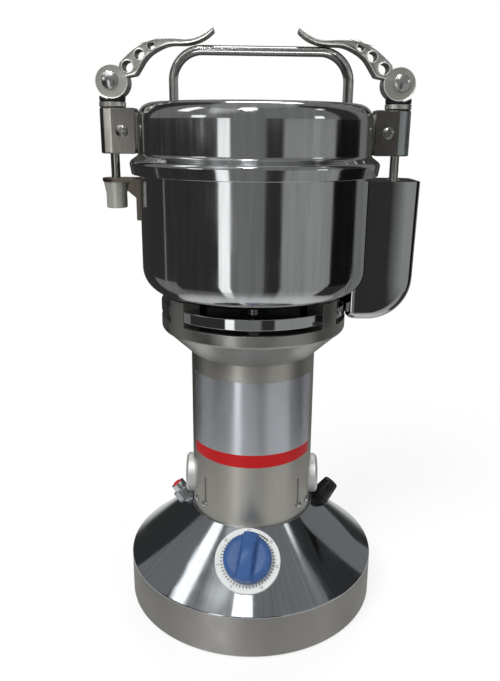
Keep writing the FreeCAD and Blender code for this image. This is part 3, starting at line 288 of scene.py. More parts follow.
def brushed_skirt():
    """Aluminium skirt, belt brushed around its rim: satin, warm grey, with rings and dull patches."""
    colour = colours().skirt
    material, tree, shader = finish("aluminium belt brushed", colour, metallic=1.0)
    lines = noise(tree, 0.6, stretch=(0.04, 0.04, 1.0))
    patches = noise(tree, 20.0, detail=4.0, roughness=0.6)
    rough(tree, shader, patches, 0.4, 0.56)
    bumped(tree, shader, lines, 0.03, 0.3)
    tinted(tree, shader, patches, colour, 0.78, 1.1)
    turned_tangent(tree, shader, 0.8)
    return material


def anodised_tube():
    """Aluminium tube, etched and anodised: satin, with soft upright bands of light."""
    colour = colours().tube
    material, tree, shader = finish("aluminium satin anodised", colour, metallic=1.0)
    grain = noise(tree, 0.7, stretch=(1.0, 1.0, 0.1))
    cloud = noise(tree, 9.0, stretch=(1.0, 1.0, 0.2))
    rough(tree, shader, grain, 0.4, 0.48)
    bumped(tree, shader, grain, 0.008, 0.2)
    tinted(tree, shader, cloud, colour, 0.9, 1.06)
    turned_tangent(tree, shader, 0.6)
    return material


def satin_metal(name, colour, low=0.28, high=0.42, metallic=1.0):
    """Metal cast and tumbled, ground or pickled: soft sheen with a fine pebbled skin."""
    material, tree, shader = finish(name, colour, metallic=metallic)
    skin = noise(tree, 0.9, detail=4.0, roughness=0.6)
    cloud = noise(tree, 12.0, detail=2.0)
    rough(tree, shader, cloud, low, high)
    bumped(tree, shader, skin, 0.04, 0.3)
    tinted(tree, shader, cloud, colour, 0.9, 1.05)
    return material


def bright_metal(name, colour, low, high):
    """Metal plated, drawn or finely ground: crisp reflections and a little haze from handling."""
    material, tree, shader = finish(name, colour, metallic=1.0)
    haze = noise(tree, 5.0)
    rough(tree, shader, haze, low, high)
    tinted(tree, shader, haze, colour, 0.93, 1.03)
    return material


def milled_steel():
    """Steel block, milled, ground and nickel plated: straight grain and a low sheen."""
    colour = from_hex("#817E79")
    material, tree, shader = finish("steel ground and nickel plated", colour, metallic=1.0)
    grain = noise(tree, 0.5, stretch=(1.0, 1.0, 0.06))
    rough(tree, shader, grain, 0.2, 0.32)
    bumped(tree, shader, grain, 0.02, 0.25)
    tinted(tree, shader, grain, colour, 0.92, 1.04)
    return material


def moulded(name, colour, low, high, **sockets):
    """Plastic, ink or carbon, moulded, printed or pressed: even colour, fine skin and a soft gloss."""
    material, tree, shader = finish(name, colour, ior=1.5, **sockets)
    skin = noise(tree, 0.35, detail=2.0)
    cloud = noise(tree, 9.0, detail=2.0)
    rough(tree, shader, cloud, low, high)
    bumped(tree, shader, skin, 0.015, 0.25)
    tinted(tree, shader, cloud, colour, 0.94, 1.05)
    return material


def silver_foil():
    """Metallised polyester label: cool silver with slightly duller patches where it is stuck down."""
    colour = from_hex("#C6CACF")
    material, tree, shader = finish("polyester foil metallised", colour, metallic=0.9)
    patches = noise(tree, 9.0, detail=2.0, stretch=(1.0, 1.0, 0.25))
    rough(tree, shader, patches, 0.26, 0.36)
    tinted(tree, shader, patches, colour, 0.93, 1.04)
    turned_tangent(tree, shader, 0.8)
    return material


def screen_print():
    """Red screen ink on foil: glossy, with the metal faintly under it."""
    material, tree, shader = finish("screen ink on foil", colours().stripe, metallic=0.15, ior=1.5,
                                    specular_ior_level=0.3)
    ripple = noise(tree, 9.0, detail=2.0, stretch=(1.0, 1.0, 0.25))
    rough(tree, shader, ripple, 0.3, 0.4)
    bumped(tree, shader, ripple, 0.05, 0.15)
    return material


def vulcanised_rubber():
    """Moulded rubber: near black, dull, with a dusty bloom."""
    colour = from_hex("#1B1B1C")
    material, tree, shader = finish("rubber compression moulded", colour, ior=1.52)
    bloom = noise(tree, 3.0, detail=4.0)
    rough(tree, shader, bloom, 0.6, 0.85)
    tinted(tree, shader, bloom, colour, 0.8, 1.6)
    return material


def silicone_rubber():
    """Moulded silicone: milky and slightly soft to light."""
    material, tree, shader = finish("silicone moulded", from_hex("#D9D9D2"), ior=1.41,
                                    subsurface_weight=0.2)
    shader.inputs["Subsurface Radius"].default_value = (2.0 * MM, 1.6 * MM, 1.2 * MM)
    cloud = noise(tree, 2.5, detail=2.0)
    rough(tree, shader, cloud, 0.35, 0.5)
    return material


def stacked_laminations():
    """Silicon steel sheets stacked and varnished: fine level lines, dark and oily."""
    colour = from_hex("#5A5B5E")
    material, tree, shader = finish("silicon steel laminations", colour, metallic=0.9)
    lines = noise(tree, 0.5, detail=1.0, stretch=(0.02, 0.02, 1.0))
    rough(tree, shader, lines, 0.35, 0.55)
    bumped(tree, shader, lines, 0.1, 0.6)
    tinted(tree, shader, lines, colour, 0.7, 1.1)
    return material


def enamelled_copper():
    """Copper winding wire in enamel: warm, glossy and closely wound."""
    colour = from_hex("#B4683C")
    material, tree, shader = finish("copper enamelled", colour, metallic=0.95)
    wires = noise(tree, 0.8, detail=1.0, stretch=(1.0, 1.0, 0.05))
    rough(tree, shader, wires, 0.25, 0.4)
    bumped(tree, shader, wires, 0.2, 0.6)
    tinted(tree, shader, wires, colour, 0.7, 1.1)
    return material


# each finish by the name that the pieces use: its maker, and what it is and how it was made
MAKERS = {
    "stainless": buffed_stainless,
    "sheet": polished_sheet,
    "cone": polished_cone,
    "skirt": brushed_skirt,
    "tube": anodised_tube,
    "casting": lambda: satin_metal("aluminium cast and tumbled", colours().cast),
    "cap casting": lambda: satin_metal("aluminium cast and turned", from_hex("#E4E6E3"), 0.5, 0.62),
    "lever": lambda: satin_metal("zinc alloy cast and tumbled", colours().zinc, 0.38, 0.5),
    # paler, less metallic finish for the levers' bevels and cheek rims: a painted highlight
    "lever painted highlight": lambda: satin_metal("zinc alloy edges rubbed bright", from_hex("#DADBD8"),
                                      0.28, 0.38, 0.6),
    "pin": lambda: bright_metal("steel pin nickel plated", from_hex("#C9CBC8"), 0.16, 0.28),
    # finishes for the clamp blocks' rounded ends: a bright painted highlight on the left, a paler painted sheen on
    # the right
    "block end painted highlight": lambda: satin_metal("steel ground bright", from_hex("#EAE6DC"), 0.32, 0.42, 0.85),
    "block flank painted sheen": lambda: satin_metal("steel ground satin", from_hex("#A8B0B0"), 0.3, 0.4, 0.95),
    "chrome": lambda: bright_metal("steel chrome plated", from_hex("#D4D6D8"), 0.04, 0.12),
    "rod": lambda: bright_metal("steel rod ground", from_hex("#B8B6B0"), 0.14, 0.24),
    # the bracket is darker than pickled stainless itself: a painted shade
    "bracket": lambda: satin_metal("stainless plate bent and pickled", from_hex("#6E675F"), 0.3, 0.42),
    "socket": lambda: satin_metal("steel turned and satin plated", from_hex("#C4C4BC"),
                                  0.38, 0.48, 0.65),
    "collar": lambda: bright_metal("steel collar nickel plated", from_hex("#DEDDD6"), 0.24, 0.36),
    "bar": lambda: bright_metal("steel bar nickel plated", from_hex("#E2E2DE"), 0.12, 0.2),
    "zinc screw": lambda: bright_metal("steel zinc plated", from_hex("#A3A29C"), 0.16, 0.3),
    "block": milled_steel,
    "phenolic": lambda: moulded("phenolic compression moulded", from_hex("#101116"), 0.28, 0.42),
    "knob": lambda: moulded("ABS knob moulded", colours().knob, 0.22, 0.32, specular_ior_level=0.12),
    "dial": lambda: moulded("ABS dial moulded", colours().dial, 0.36, 0.48),
    "ink": lambda: moulded("pad print ink", from_hex("#24262A"), 0.5, 0.6),
    "red cap": lambda: moulded("nylon button moulded", from_hex("#B51A1D"), 0.25, 0.35),
    "foil": silver_foil,
    "stripe": screen_print,
    "rubber": vulcanised_rubber,
    "silicone": silicone_rubber,
    "lamination": stacked_laminations,
    "copper": enamelled_copper,
    "brass": lambda: bright_metal("brass drawn", from_hex("#C39A55"), 0.2, 0.32),
    "carbon": lambda: moulded("carbon pressed", from_hex("#1E1E20"), 0.55, 0.7),
    "cover steel": lambda: bright_metal("sheet steel zinc plated", from_hex("#8E9092"), 0.3, 0.42),
    "blade steel": lambda: bright_metal("blade steel ground", from_hex("#BFC1C3"), 0.14, 0.24),
}
made = {}


def material(key):
    """The finish of that name, made once."""
    if key not in made:
        made[key] = MAKERS[key]()
    return made[key]


# ---------------------------------------------------------------- modelling helpers
def take(obj):
    """Select one object and nothing else."""
    bpy.ops.object.select_all(action="DESELECT")
    obj.select_set(True)
    bpy.context.view_layer.objects.active = obj


def applied(obj, kind, **settings):
    """Add a modifier and apply it."""
    take(obj)
    modifier = obj.modifiers.new(kind.title(), kind)
    for key, value in settings.items():
        setattr(modifier, key, value)
    bpy.ops.object.modifier_apply(modifier=modifier.name)


def smoothed(obj, angle=32.0):
    """Smooth shading that keeps flats flat and edges crisp."""
    take(obj)
    bpy.ops.object.shade_smooth_by_angle(angle=math.radians(angle))
    applied(obj, "WEIGHTED_NORMAL", keep_sharp=True, weight=60)


def arc(centre_r, centre_z, radius, start, end, steps):
    """Points of an arc in radius and height, in degrees from outward."""
    points = []
    for index in range(steps + 1):
        angle = math.radians(start + (end - start) * index / steps)
        points.append((centre_r + radius * math.cos(angle), centre_z + radius * math.sin(angle)))
    return points


def drawn(name, points):
    """A chain of vertices through points given in the object's frame."""
    bpy.ops.object.select_all(action="DESELECT")
    bpy.ops.mesh.primitive_plane_add(size=MM)
    obj = bpy.context.object
    obj.name = name
    bpy.ops.object.mode_set(mode="EDIT")
    bpy.ops.mesh.merge(type="CENTER")
    bpy.ops.transform.translate(value=points[0])
    for before, point in zip(points, points[1:]):
        bpy.ops.mesh.extrude_region_move(TRANSFORM_OT_translate={"value": point - before})
    bpy.ops.mesh.select_all(action="SELECT")
    return obj


def turned(name, outline, turn=2.0 * math.pi, start=0.0, closed=True):
    """Spin an outline of (radius, height) points about Z, from an azimuth off the front."""
    along = Vector((math.sin(start), -math.cos(start), 0.0))
    obj = drawn(name, [along * radius + Z_AXIS * height for radius, height in outline])
    if closed:
        bpy.ops.mesh.select_all(action="DESELECT")
        bpy.ops.object.mode_set(mode="OBJECT")
        obj.data.vertices[0].select = True
        obj.data.vertices[len(outline) - 1].select = True
        bpy.ops.object.mode_set(mode="EDIT")
        bpy.ops.mesh.edge_face_add()
        bpy.ops.mesh.select_all(action="SELECT")
    steps = max(3, round(sizes().turns * turn / (2.0 * math.pi)))
    bpy.ops.mesh.spin(steps=steps, angle=-turn, center=(0.0, 0.0, 0.0), axis=(0.0, 0.0, 1.0))
    bpy.ops.mesh.select_all(action="SELECT")
    bpy.ops.mesh.remove_doubles(threshold=0.002 * MM)
    bpy.ops.mesh.normals_make_consistent(inside=False)
    bpy.ops.object.mode_set(mode="OBJECT")
    return obj


def carried(obj, body, slot, *nodes):
    """Ride on a body and stand for its nodes; the slot is not used."""
    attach(obj, body)
    if nodes:
        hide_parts(*nodes)
    return obj


def covered(obj, *keys):
    """Give a piece its finishes, in the order of its faces' material indices."""
    obj.data.materials.clear()
    for key in keys:
        obj.data.materials.append(material(key))
    return obj


def slot_of(node):
    """Finish slot that the record gives a node."""
    for part in frame["record"]["subparts"]:
        if part["node"] == node:
            return part["material_slot"]
    raise RuntimeError("no slot for " + node)


def body_of(node):
    """Moving body that carries a node."""
    for body, nodes in frame["record"]["behaviour"]["bodies"].items():
        if node in nodes:
            return body
    raise RuntimeError("no body for " + node)


def eased(node, name, key, edge=0.0, edge_key=None, segments=2, angle=32.0):
    """A merged copy of a CAD solid, its sharp edges eased by edge in millimetres, for the node."""
    obj = bpy.data.objects.new(name, frame["nodes"][node].data.copy())
    bpy.context.scene.collection.objects.link(obj)
    take(obj)
    bpy.ops.object.mode_set(mode="EDIT")
    bpy.ops.mesh.select_all(action="SELECT")
    bpy.ops.mesh.remove_doubles(threshold=0.004 * MM)
    bpy.ops.mesh.dissolve_limited(angle_limit=math.radians(0.6), delimit={"NORMAL"})
    bpy.ops.object.mode_set(mode="OBJECT")
    covered(obj, key, edge_key or key)
    for polygon in obj.data.polygons:
        polygon.material_index = 0
    if edge:
        applied(obj, "BEVEL", width=edge * MM, segments=segments, limit_method="ANGLE",
                angle_limit=math.radians(38.0), material=1 if edge_key else -1)
    smoothed(obj, angle)
    return carried(obj, body_of(node), slot_of(node), node)


def finished(node, key):
    """A CAD solid that keeps its mesh and gets a better finish."""
    obj = frame["nodes"][node]
    for slot in obj.material_slots:
        slot.material = material(key)


# ---------------------------------------------------------------- base
class AddBase(bpy.types.Operator):
    """Spun base: a polished cone over a brushed skirt, with its cover, feet and inlet"""
    bl_idname = "grinder.add_base"
    bl_label = "Base"

    def execute(self, context):
        wall = sizes().base_wall
        skirt_r, foot, seat_z = base_high.x, base_low.z, base_high.z
        tube_gap, flange = 1.3 * MM, 8.0 * MM
        seat_r, bore = tube_high.x + tube_gap, tube_high.x - flange
        knee_z = foot + sizes().skirt_height
        slope = math.degrees(math.atan2(seat_z - knee_z, skirt_r - seat_r))
        # radii of the skirt's hem, of the knee between skirt and cone, and of the seat's lip
        hem, knee, lip = 0.6 * MM, 1.2 * MM, 0.8 * MM
        reach = knee * math.tan(math.radians((90.0 - slope) / 2.0))
        outline = [(skirt_r - wall, foot)]
        outline += arc(skirt_r - hem, foot + hem, hem, -90.0, 0.0, 4)
        outline += arc(skirt_r - knee, knee_z - reach, knee, 0.0, 90.0 - slope, 5)
        outline += arc(seat_r - 0.2 * MM, seat_z - lip, lip, 90.0 - slope, 90.0, 4)
        outline += [(bore, seat_z), (bore, seat_z - wall), (seat_r - wall, seat_z - wall),
                    (skirt_r - wall, knee_z - wall)]
        shell = turned("spun_base", outline)
        covered(shell, "cone", "skirt")
        for polygon in shell.data.polygons:
            if polygon.center.z < knee_z - 0.6 * knee:
                polygon.material_index = 1
        smoothed(shell, 50.0)
        carried(shell, "root", slot_of("base_housing"), "base_housing")
        eased("base_cover", "bottom_cover", "cover steel", 0.3)
        eased("base_feet", "rubber_feet", "rubber", 0.4)
        eased("base_cover_screws", "cover_screws", "zinc screw", 0.2)
        eased("cable_inlet", "inlet_bush", "phenolic", 0.5)
        return {"FINISHED"}


# ---------------------------------------------------------------- motor tube
# the tube's cooling slots: azimuths off the front, heights above the tube's foot, half a liner's width
VENT_AZIMUTHS = (48.0, 132.0, 156.0, 204.0, 228.0, 312.0)
VENT_FOOT, VENT_TOP = 8.1 * MM, 28.9 * MM
VENT_HALF = math.radians(2.7)


class AddMotorTube(bpy.types.Operator):
    """Satin tube with its lined vents, brush caps and small screws"""
    bl_idname = "grinder.add_motor_tube"
    bl_label = "Motor Tube"

    def execute(self, context):
        eased("motor_housing", "satin_tube", "tube", 0.25)
        liner_r = tube_high.x - 0.7 * MM
        edge = [(liner_r, tube_low.z + VENT_FOOT), (liner_r, tube_low.z + VENT_TOP)]
        for azimuth in VENT_AZIMUTHS:
            liner = turned("vent_liner", edge, turn=2.0 * VENT_HALF,
                           start=math.radians(azimuth) - VENT_HALF, closed=False)
            applied(liner, "SOLIDIFY", thickness=0.6 * MM, offset=-1.0)
            covered(liner, "tube")
            smoothed(liner, 40.0)
            carried(liner, "root", "satin_aluminium")
        eased("housing_screws", "tube_screws", "chrome")
        eased("brush_cap_right", "cap_right", "cap casting", 0.3)
        eased("brush_cap_left", "cap_left", "cap casting", 0.3)
        return {"FINISHED"}


def wrapped(name, radius, low, high, rise):
    """A sheet wrapped on the tube's front; its lower edge rises by rise towards the ends."""
    half = sizes().foil_half
    rows = 7
    outline = [(radius, low + (high - low) * index / rows) for index in range(rows + 1)]
    sheet = turned(name, outline, turn=2.0 * half, start=-half, closed=False)
    for vertex in sheet.data.vertices:
        azimuth = math.atan2(vertex.co.x, -vertex.co.y)
        share = (high - vertex.co.z) / (high - low)
        vertex.co.z += rise * share * (azimuth / half) ** 2
    # an open sheet has no inside, so its faces are turned away from the tube
    middle = sheet.data.polygons[len(sheet.data.polygons) // 2]
    if middle.normal.dot(middle.center) < 0.0:
        take(sheet)
        bpy.ops.object.mode_set(mode="EDIT")
        bpy.ops.mesh.select_all(action="SELECT")
        bpy.ops.mesh.flip_normals()
        bpy.ops.object.mode_set(mode="OBJECT")
    return sheet


class AddLabel(bpy.types.Operator):
    """Bare silver foil wrapped on the tube, with a plain red stripe along its foot"""
    bl_idname = "grinder.add_label"
    bl_label = "Label Foil"

    def execute(self, context):
        size = sizes()
        thickness = 0.12 * MM
        rest = tube_high.x + 0.06 * MM
        foil = wrapped("label_foil", rest, size.stripe_high, size.foil_high, 0.0)
        stripe = wrapped("label_stripe", rest, size.foil_low, size.stripe_high, size.stripe_rise)
        for sheet, key, slot in ((foil, "foil", "satin_aluminium"), (stripe, "stripe", "red_plastic")):
            applied(sheet, "SOLIDIFY", thickness=thickness, offset=1.0)
            covered(sheet, key)
            smoothed(sheet, 40.0)
            carried(sheet, "root", slot)
        return {"FINISHED"}


# ---------------------------------------------------------------- neck
class AddNeck(bpy.types.Operator):
    """Flared casting with four posts, and the polished bearing plate between them"""
    bl_idname = "grinder.add_neck"
    bl_label = "Neck"

    def execute(self, context):
        eased("neck_casting", "flared_neck", "casting", 0.6, segments=3)
        eased("bearing_plate", "bright_plate", "sheet", 0.3)
        eased("neck_screws", "plate_screws", "zinc screw", 0.2)
        return {"FINISHED"}


# ---------------------------------------------------------------- bowl and lid
class AddBowl(bpy.types.Operator):
    """Deep drawn bowl with a rounded lower corner and a fine rim"""
    bl_idname = "grinder.add_bowl"
    bl_label = "Bowl"

    def execute(self, context):
        size = sizes()
        wall, corner, floor = size.wall, size.bowl_corner, size.bowl_floor
        outer, foot, rim = bowl_high.x, bowl_low.z, bowl_high.z
        # radii of the shaft's hole and of the rolled rim
        bore, roll = 7.6 * MM, wall / 2.0
        outline = [(bore, foot)]
        outline += arc(outer - corner, foot + corner, corner, -90.0, 0.0, 18)
        outline += arc(outer - roll, rim - roll, roll, 0.0, 180.0, 8)
        outline += arc(outer - corner, foot + floor + corner - wall, corner - wall, 0.0, -90.0, 14)
        outline += [(bore, foot + floor)]
        bowl = turned("drawn_bowl", outline)
        covered(bowl, "stainless")
        smoothed(bowl, 40.0)
        carried(bowl, "root", slot_of("bowl"), "bowl")
        return {"FINISHED"}


class AddLid(bpy.types.Operator):
    """Pressed lid with a rolled bead, its seal ring and the two ears"""
    bl_idname = "grinder.add_lid"
    bl_label = "Lid"

    def execute(self, context):
        size = sizes()
        wall, corner, bead_h = size.wall, size.lid_corner, size.bead_height
        bead_r, foot, top = lid_high.x, lid_low.z, lid_high.z
        outer = bowl_high.x + 0.5 * MM
        skirt_in = bowl_high.x + 0.4 * MM
        # radii of the rim's lip, of the bead's belly and of the cove above it
        lip, belly, cove = 0.6 * MM, 3.4 * MM, 2.6 * MM
        lip_r = bead_r - 0.9 * MM - lip
        seat = bowl_high.z + 3.0 * MM
        shoulder = top - corner
        outline = [(skirt_in, foot), (lip_r, foot)]
        outline += arc(lip_r, foot + lip, lip, -70.0, -12.0, 4)
        outline += arc(bead_r - belly, foot + bead_h * 0.5, belly, 0.0, 68.0, 9)
        outline += arc(outer + cove, foot + bead_h + cove * 0.35, cove, 248.0, 180.0, 7)
        outline += arc(outer - corner, shoulder, corner, 0.0, 90.0, 16)
        outline += [(0.0, top), (0.0, top - wall)]
        outline += arc(outer - corner, shoulder, corner - wall, 90.0, 0.0, 10)
        outline += [(outer - wall, seat), (skirt_in, seat)]
        lid = turned("pressed_lid", outline)
        covered(lid, "stainless")
        smoothed(lid, 40.0)
        carried(lid, "lid", slot_of("lid_shell"), "lid_shell")
        eased("lid_seal", "seal_ring", "silicone", 0.4)
        eased("lid_lugs", "welded_ears", "socket", 0.4)
        return {"FINISHED"}


class AddLidHandle(bpy.types.Operator):
    """Bent oval bar on the lid"""
    bl_idname = "grinder.add_lid_handle"
    bl_label = "Lid Handle"

    def execute(self, context):
        eased("lid_handle", "oval_bar", "bar", angle=50.0)
        finished("lid_handle_screws", "zinc screw")
        return {"FINISHED"}


# ---------------------------------------------------------------- handle and brackets
def upright_plate(name, outline, half):
    """An outline in X and Z made solid from -half to half in Y."""
    obj = drawn(name, [Vector((x, -half, z)) for x, z in outline])
    bpy.ops.mesh.edge_face_add()
    bpy.ops.mesh.extrude_region_move(TRANSFORM_OT_translate={"value": Vector((0.0, 2.0 * half, 0.0))})
    bpy.ops.mesh.select_all(action="SELECT")
    bpy.ops.mesh.normals_make_consistent(inside=False)
    bpy.ops.object.mode_set(mode="OBJECT")
    return obj


def carved(obj, tool):
    """Cut a tool out of a piece and delete the tool."""
    applied(obj, "BOOLEAN", object=tool, operation="DIFFERENCE", solver="EXACT")
    bpy.data.objects.remove(tool, do_unlink=True)


def grip_outline(inset, rise):
    """Edge of the side handle in X and Z: a large lower bend, and an outside that leans out to the top."""
    lean, root = 0.9 * MM, 2.0 * MM
    bend = sizes().grip_bend - inset
    top_x, top_z, low_z = grip_high.x - inset, grip_high.z + rise, grip_low.z + inset
    inner_x = neck_high.x - root
    outline = [(inner_x, top_z), (inner_x, low_z)]
    outline += arc(top_x - lean - bend, low_z + bend, bend, -90.0, 0.0, 24)
    return outline + [(top_x, top_z)]


def fit_to_bowl(grip):
    """Cut the room of the bowl and the neck, and a little gap around them, out of the side handle."""
    gap = 0.3 * MM
    room_r, corner = bowl_high.x + gap, sizes().bowl_corner + gap
    foot, rim = bowl_low.z - gap, bowl_high.z + 20.0 * MM
    room = [(0.0, foot)] + arc(room_r - corner, foot + corner, corner, -90.0, 0.0, 18)
    carved(grip, turned("bowl_room", room + [(room_r, rim), (0.0, rim)]))
    neck_r, neck_top = neck_high.x + gap, bowl_low.z + 1.0 * MM
    carved(grip, turned("neck_room", [(0.0, neck_low.z), (neck_r, neck_low.z),
                                      (neck_r, neck_top), (0.0, neck_top)]))


class AddSideHandle(bpy.types.Operator):
    """Closed side handle folded from polished sheet, with the right hand socket in it"""
    bl_idname = "grinder.add_side_handle"
    bl_label = "Side Handle"

    def execute(self, context):
        half, top = grip_high.y, grip_high.z
        # it is made too tall and cut level, so that its long edges are rounded and its top edge isn't
        over = 8.0 * MM
        grip = upright_plate("folded_grip", grip_outline(0.0, over), half)
        applied(grip, "BEVEL", width=sizes().grip_edge, segments=5, limit_method="ANGLE",
                angle_limit=math.radians(60.0))
        near_x, far_x, clear_z = 30.0 * MM, 130.0 * MM, top + 30.0 * MM
        above = [(near_x, top), (near_x, clear_z), (far_x, clear_z), (far_x, top)]
        carved(grip, upright_plate("top_cut", above, 2.0 * half))
        edge_wall, side_wall = 4.3 * MM, 3.5 * MM
        carved(grip, upright_plate("hollow", grip_outline(edge_wall, -edge_wall), half - side_wall))
        fit_to_bowl(grip)
        socket_x = (rod_low.x + rod_high.x) / 2.0
        bpy.ops.object.select_all(action="DESELECT")
        socket_bore, bore_length = 4.05 * MM, 16.0 * MM
        bpy.ops.mesh.primitive_cylinder_add(vertices=48, radius=socket_bore, depth=bore_length,
                                            location=(socket_x, 0.0, top))
        carved(grip, context.object)
        applied(grip, "BEVEL", width=0.5 * MM, segments=2, limit_method="ANGLE",
                angle_limit=math.radians(50.0))
        covered(grip, "sheet")
        smoothed(grip, 30.0)
        carried(grip, "root", slot_of("side_handle"), "side_handle")
        eased("rod_socket_right", "socket_right", "socket", 0.3)
        return {"FINISHED"}


class AddBracket(bpy.types.Operator):
    """Left bracket on the bowl wall with its tapered socket"""
    bl_idname = "grinder.add_bracket"
    bl_label = "Left Bracket"

    def execute(self, context):
        eased("bracket_left", "angle_bracket", "bracket", 0.4)
        eased("rod_socket_left", "socket_left", "socket", 0.3)
        return {"FINISHED"}


# ---------------------------------------------------------------- clamps
# painted light on each clamp block's rounded end, a bright painted highlight on the left and a paler painted sheen
# on the right, and the normal's share of X up to which it reaches
BLOCK_ENDS = {"left": ("block end painted highlight", 0.55), "right": ("block flank painted sheen", 0.86)}


def ground_edge(block, reach):
    """The start of a clamp block's rounded end takes the block's second finish, its painted highlight or painted
    sheen.
    """
    turned_off, upright = 0.03, 0.1
    for polygon in block.data.polygons:
        if turned_off < abs(polygon.normal.x) < reach and abs(polygon.normal.z) < upright:
            polygon.material_index = 1


def rimmed(lever):
    """Flat outer cheeks sunk a little inside a rim that takes the paler finish, a painted highlight."""
    rim, slope, depth = 0.35 * MM, 0.2 * MM, 0.3 * MM
    level, flush = 0.99, 0.05 * MM
    outer = max(abs(corner[1]) for corner in lever.bound_box)
    take(lever)
    bpy.ops.object.mode_set(mode="EDIT")
    bpy.ops.mesh.select_mode(type="FACE")
    bpy.ops.mesh.select_all(action="DESELECT")
    bpy.ops.object.mode_set(mode="OBJECT")
    for polygon in lever.data.polygons:
        if abs(polygon.normal.y) > level and abs(polygon.center.y) > outer - flush:
            polygon.select = True
            polygon.material_index = 1
    bpy.ops.object.mode_set(mode="EDIT")
    bpy.ops.mesh.remove_doubles(threshold=0.02 * MM)
    bpy.ops.mesh.quads_convert_to_tris()
    bpy.ops.mesh.inset(thickness=rim, depth=0.0)
    bpy.ops.object.mode_set(mode="OBJECT")
    for polygon in lever.data.polygons:
        if polygon.select:
            polygon.material_index = 0
    bpy.ops.object.mode_set(mode="EDIT")
    bpy.ops.mesh.inset(thickness=slope, depth=-depth)
    bpy.ops.mesh.select_mode(type="VERT")
    bpy.ops.object.mode_set(mode="OBJECT")
    smoothed(lever)


class AddClamps(bpy.types.Operator):
    """Clamp blocks, tie rods and cam levers, with their screws, pins, collars and saddles"""
    bl_idname = "grinder.add_clamps"
    bl_label = "Clamps"

    def execute(self, context):
        for side in ("left", "right"):
            end_key, reach = BLOCK_ENDS[side]
            block = eased("clamp_block_" + side, "block_" + side, "block", edge_key=end_key, angle=40.0)
            ground_edge(block, reach)
            eased("clamp_rod_" + side, "tie_rod_" + side, "rod", 0.2)
            # the lever's bevels and cheek rims take the paler finish, a painted highlight
            lever = eased("cam_lever_" + side, "lever_" + side, "lever", 0.5, "lever painted highlight", segments=3)
            rimmed(lever)
            eased("lever_pin_" + side, "pin_" + side, "pin")
        eased("clamp_screws", "block_screws", "zinc screw", 0.15)
        eased("clamp_collars", "bright_collars", "collar")
        eased("cam_saddles", "black_saddles", "phenolic", 0.3)
        return {"FINISHED"}


# ---------------------------------------------------------------- controls
# height of the dial's face above the knob joint's place, and thickness of the print on it
DIAL_FACE = 1.62 * MM
INK_THICK = 0.1 * MM


def printed(obj):
    """A flat piece made around Z goes on the dial's face as print, its +Y up the cone."""
    uphill = (Z_AXIS - timer_out * timer_out.z).normalized()
    turn = Matrix((uphill.cross(timer_out), uphill, timer_out)).transposed().to_4x4()
    take(obj)
    bpy.ops.object.transform_apply(location=True, rotation=True, scale=True)
    obj.data.transform(Matrix.Translation(timer_point + timer_out * DIAL_FACE) @ turn)
    obj.data.update()
    carried(covered(obj, "ink"), "root", "black_plastic")


def dial_ticks():
    """Even ticks around the knob."""
    size = sizes()
    bpy.ops.object.select_all(action="DESELECT")
    bpy.ops.mesh.primitive_cube_add(size=1.0, location=(0.0, size.tick_foot + 0.5 * size.tick_length, 0.0))
    ticks = bpy.context.object
    ticks.name = "dial_ticks"
    ticks.scale = (size.tick_width, size.tick_length, INK_THICK)
    bpy.ops.object.transform_apply(location=True, rotation=False, scale=True)
    bpy.ops.object.mode_set(mode="EDIT")
    bpy.ops.mesh.select_all(action="SELECT")
    for _ in range(size.tick_count - 1):
        bpy.ops.mesh.duplicate()
        bpy.ops.transform.rotate(value=2.0 * math.pi / size.tick_count, orient_axis="Z",
                                 center_override=(0.0, 0.0, 0.0))
    bpy.ops.object.mode_set(mode="OBJECT")
    printed(ticks)


def dial_arc():
    """Short arc outside the ticks, on the right of the knob's top."""
    inner = sizes().tick_foot + sizes().tick_length + 0.1 * MM
    outer = inner + 0.8 * MM
    mark = turned("dial_arc", [(inner, 0.0), (outer, 0.0)], turn=math.radians(26.0),
                  start=math.radians(135.0), closed=False)
    applied(mark, "SOLIDIFY", thickness=INK_THICK, offset=0.0)
    printed(mark)


def dial_numbers():
    """Plain numbers outside the ticks, clockwise from 0 at the lower left to 30 at the lower right."""
    size = sizes()
    count, minutes, last, spread = 7, 5, 150.0, 50.0
    for index in range(count):
        angle = math.radians(last - spread * index)
        place = (size.number_radius * math.sin(angle), size.number_radius * math.cos(angle), 0.0)
        bpy.ops.object.select_all(action="DESELECT")
        bpy.ops.object.text_add(location=place, rotation=(0.0, 0.0, -angle))
        number = bpy.context.object
        number.name = "dial_number"
        number.data.body = str(minutes * (count - 1 - index))
        number.data.size = size.number_height
        number.data.extrude = 0.4 * INK_THICK
        number.data.align_x = "CENTER"
        number.data.align_y = "CENTER"
        bpy.ops.object.convert(target="MESH")
        printed(bpy.context.object)


class AddTimer(bpy.types.Operator):
    """Timer dial with plain ticks, arc and numbers, and its blue knob"""
    bl_idname = "grinder.add_timer"
    bl_label = "Timer"

    def execute(self, context):
        eased("timer_dial", "dial_plate", "dial")
        dial_ticks()
        dial_arc()
        dial_numbers()
        # remeshed and smoothed, the knob's grip runs into its disc without sharp edges, as moulded
        knob = eased("timer_knob", "blue_knob", "knob")
        applied(knob, "REMESH", mode="VOXEL", voxel_size=0.35 * MM)
        applied(knob, "SMOOTH", factor=0.6, iterations=10)
        smoothed(knob, 60.0)
        finished("timer_stem", "zinc screw")
        return {"FINISHED"}


class AddSideControls(bpy.types.Operator):
    """Overload reset on the left and fuse holder on the right"""
    bl_idname = "grinder.add_side_controls"
    bl_label = "Reset and Fuse"

    def execute(self, context):
        eased("reset_collar", "hexagon_collar", "chrome", 0.2)
        eased("reset_button", "red_button", "red cap", 0.3)
        eased("fuse_holder", "fuse_flange", "phenolic", 0.3)
        eased("fuse_cap", "fuse_knob", "phenolic", 0.3)
        return {"FINISHED"}


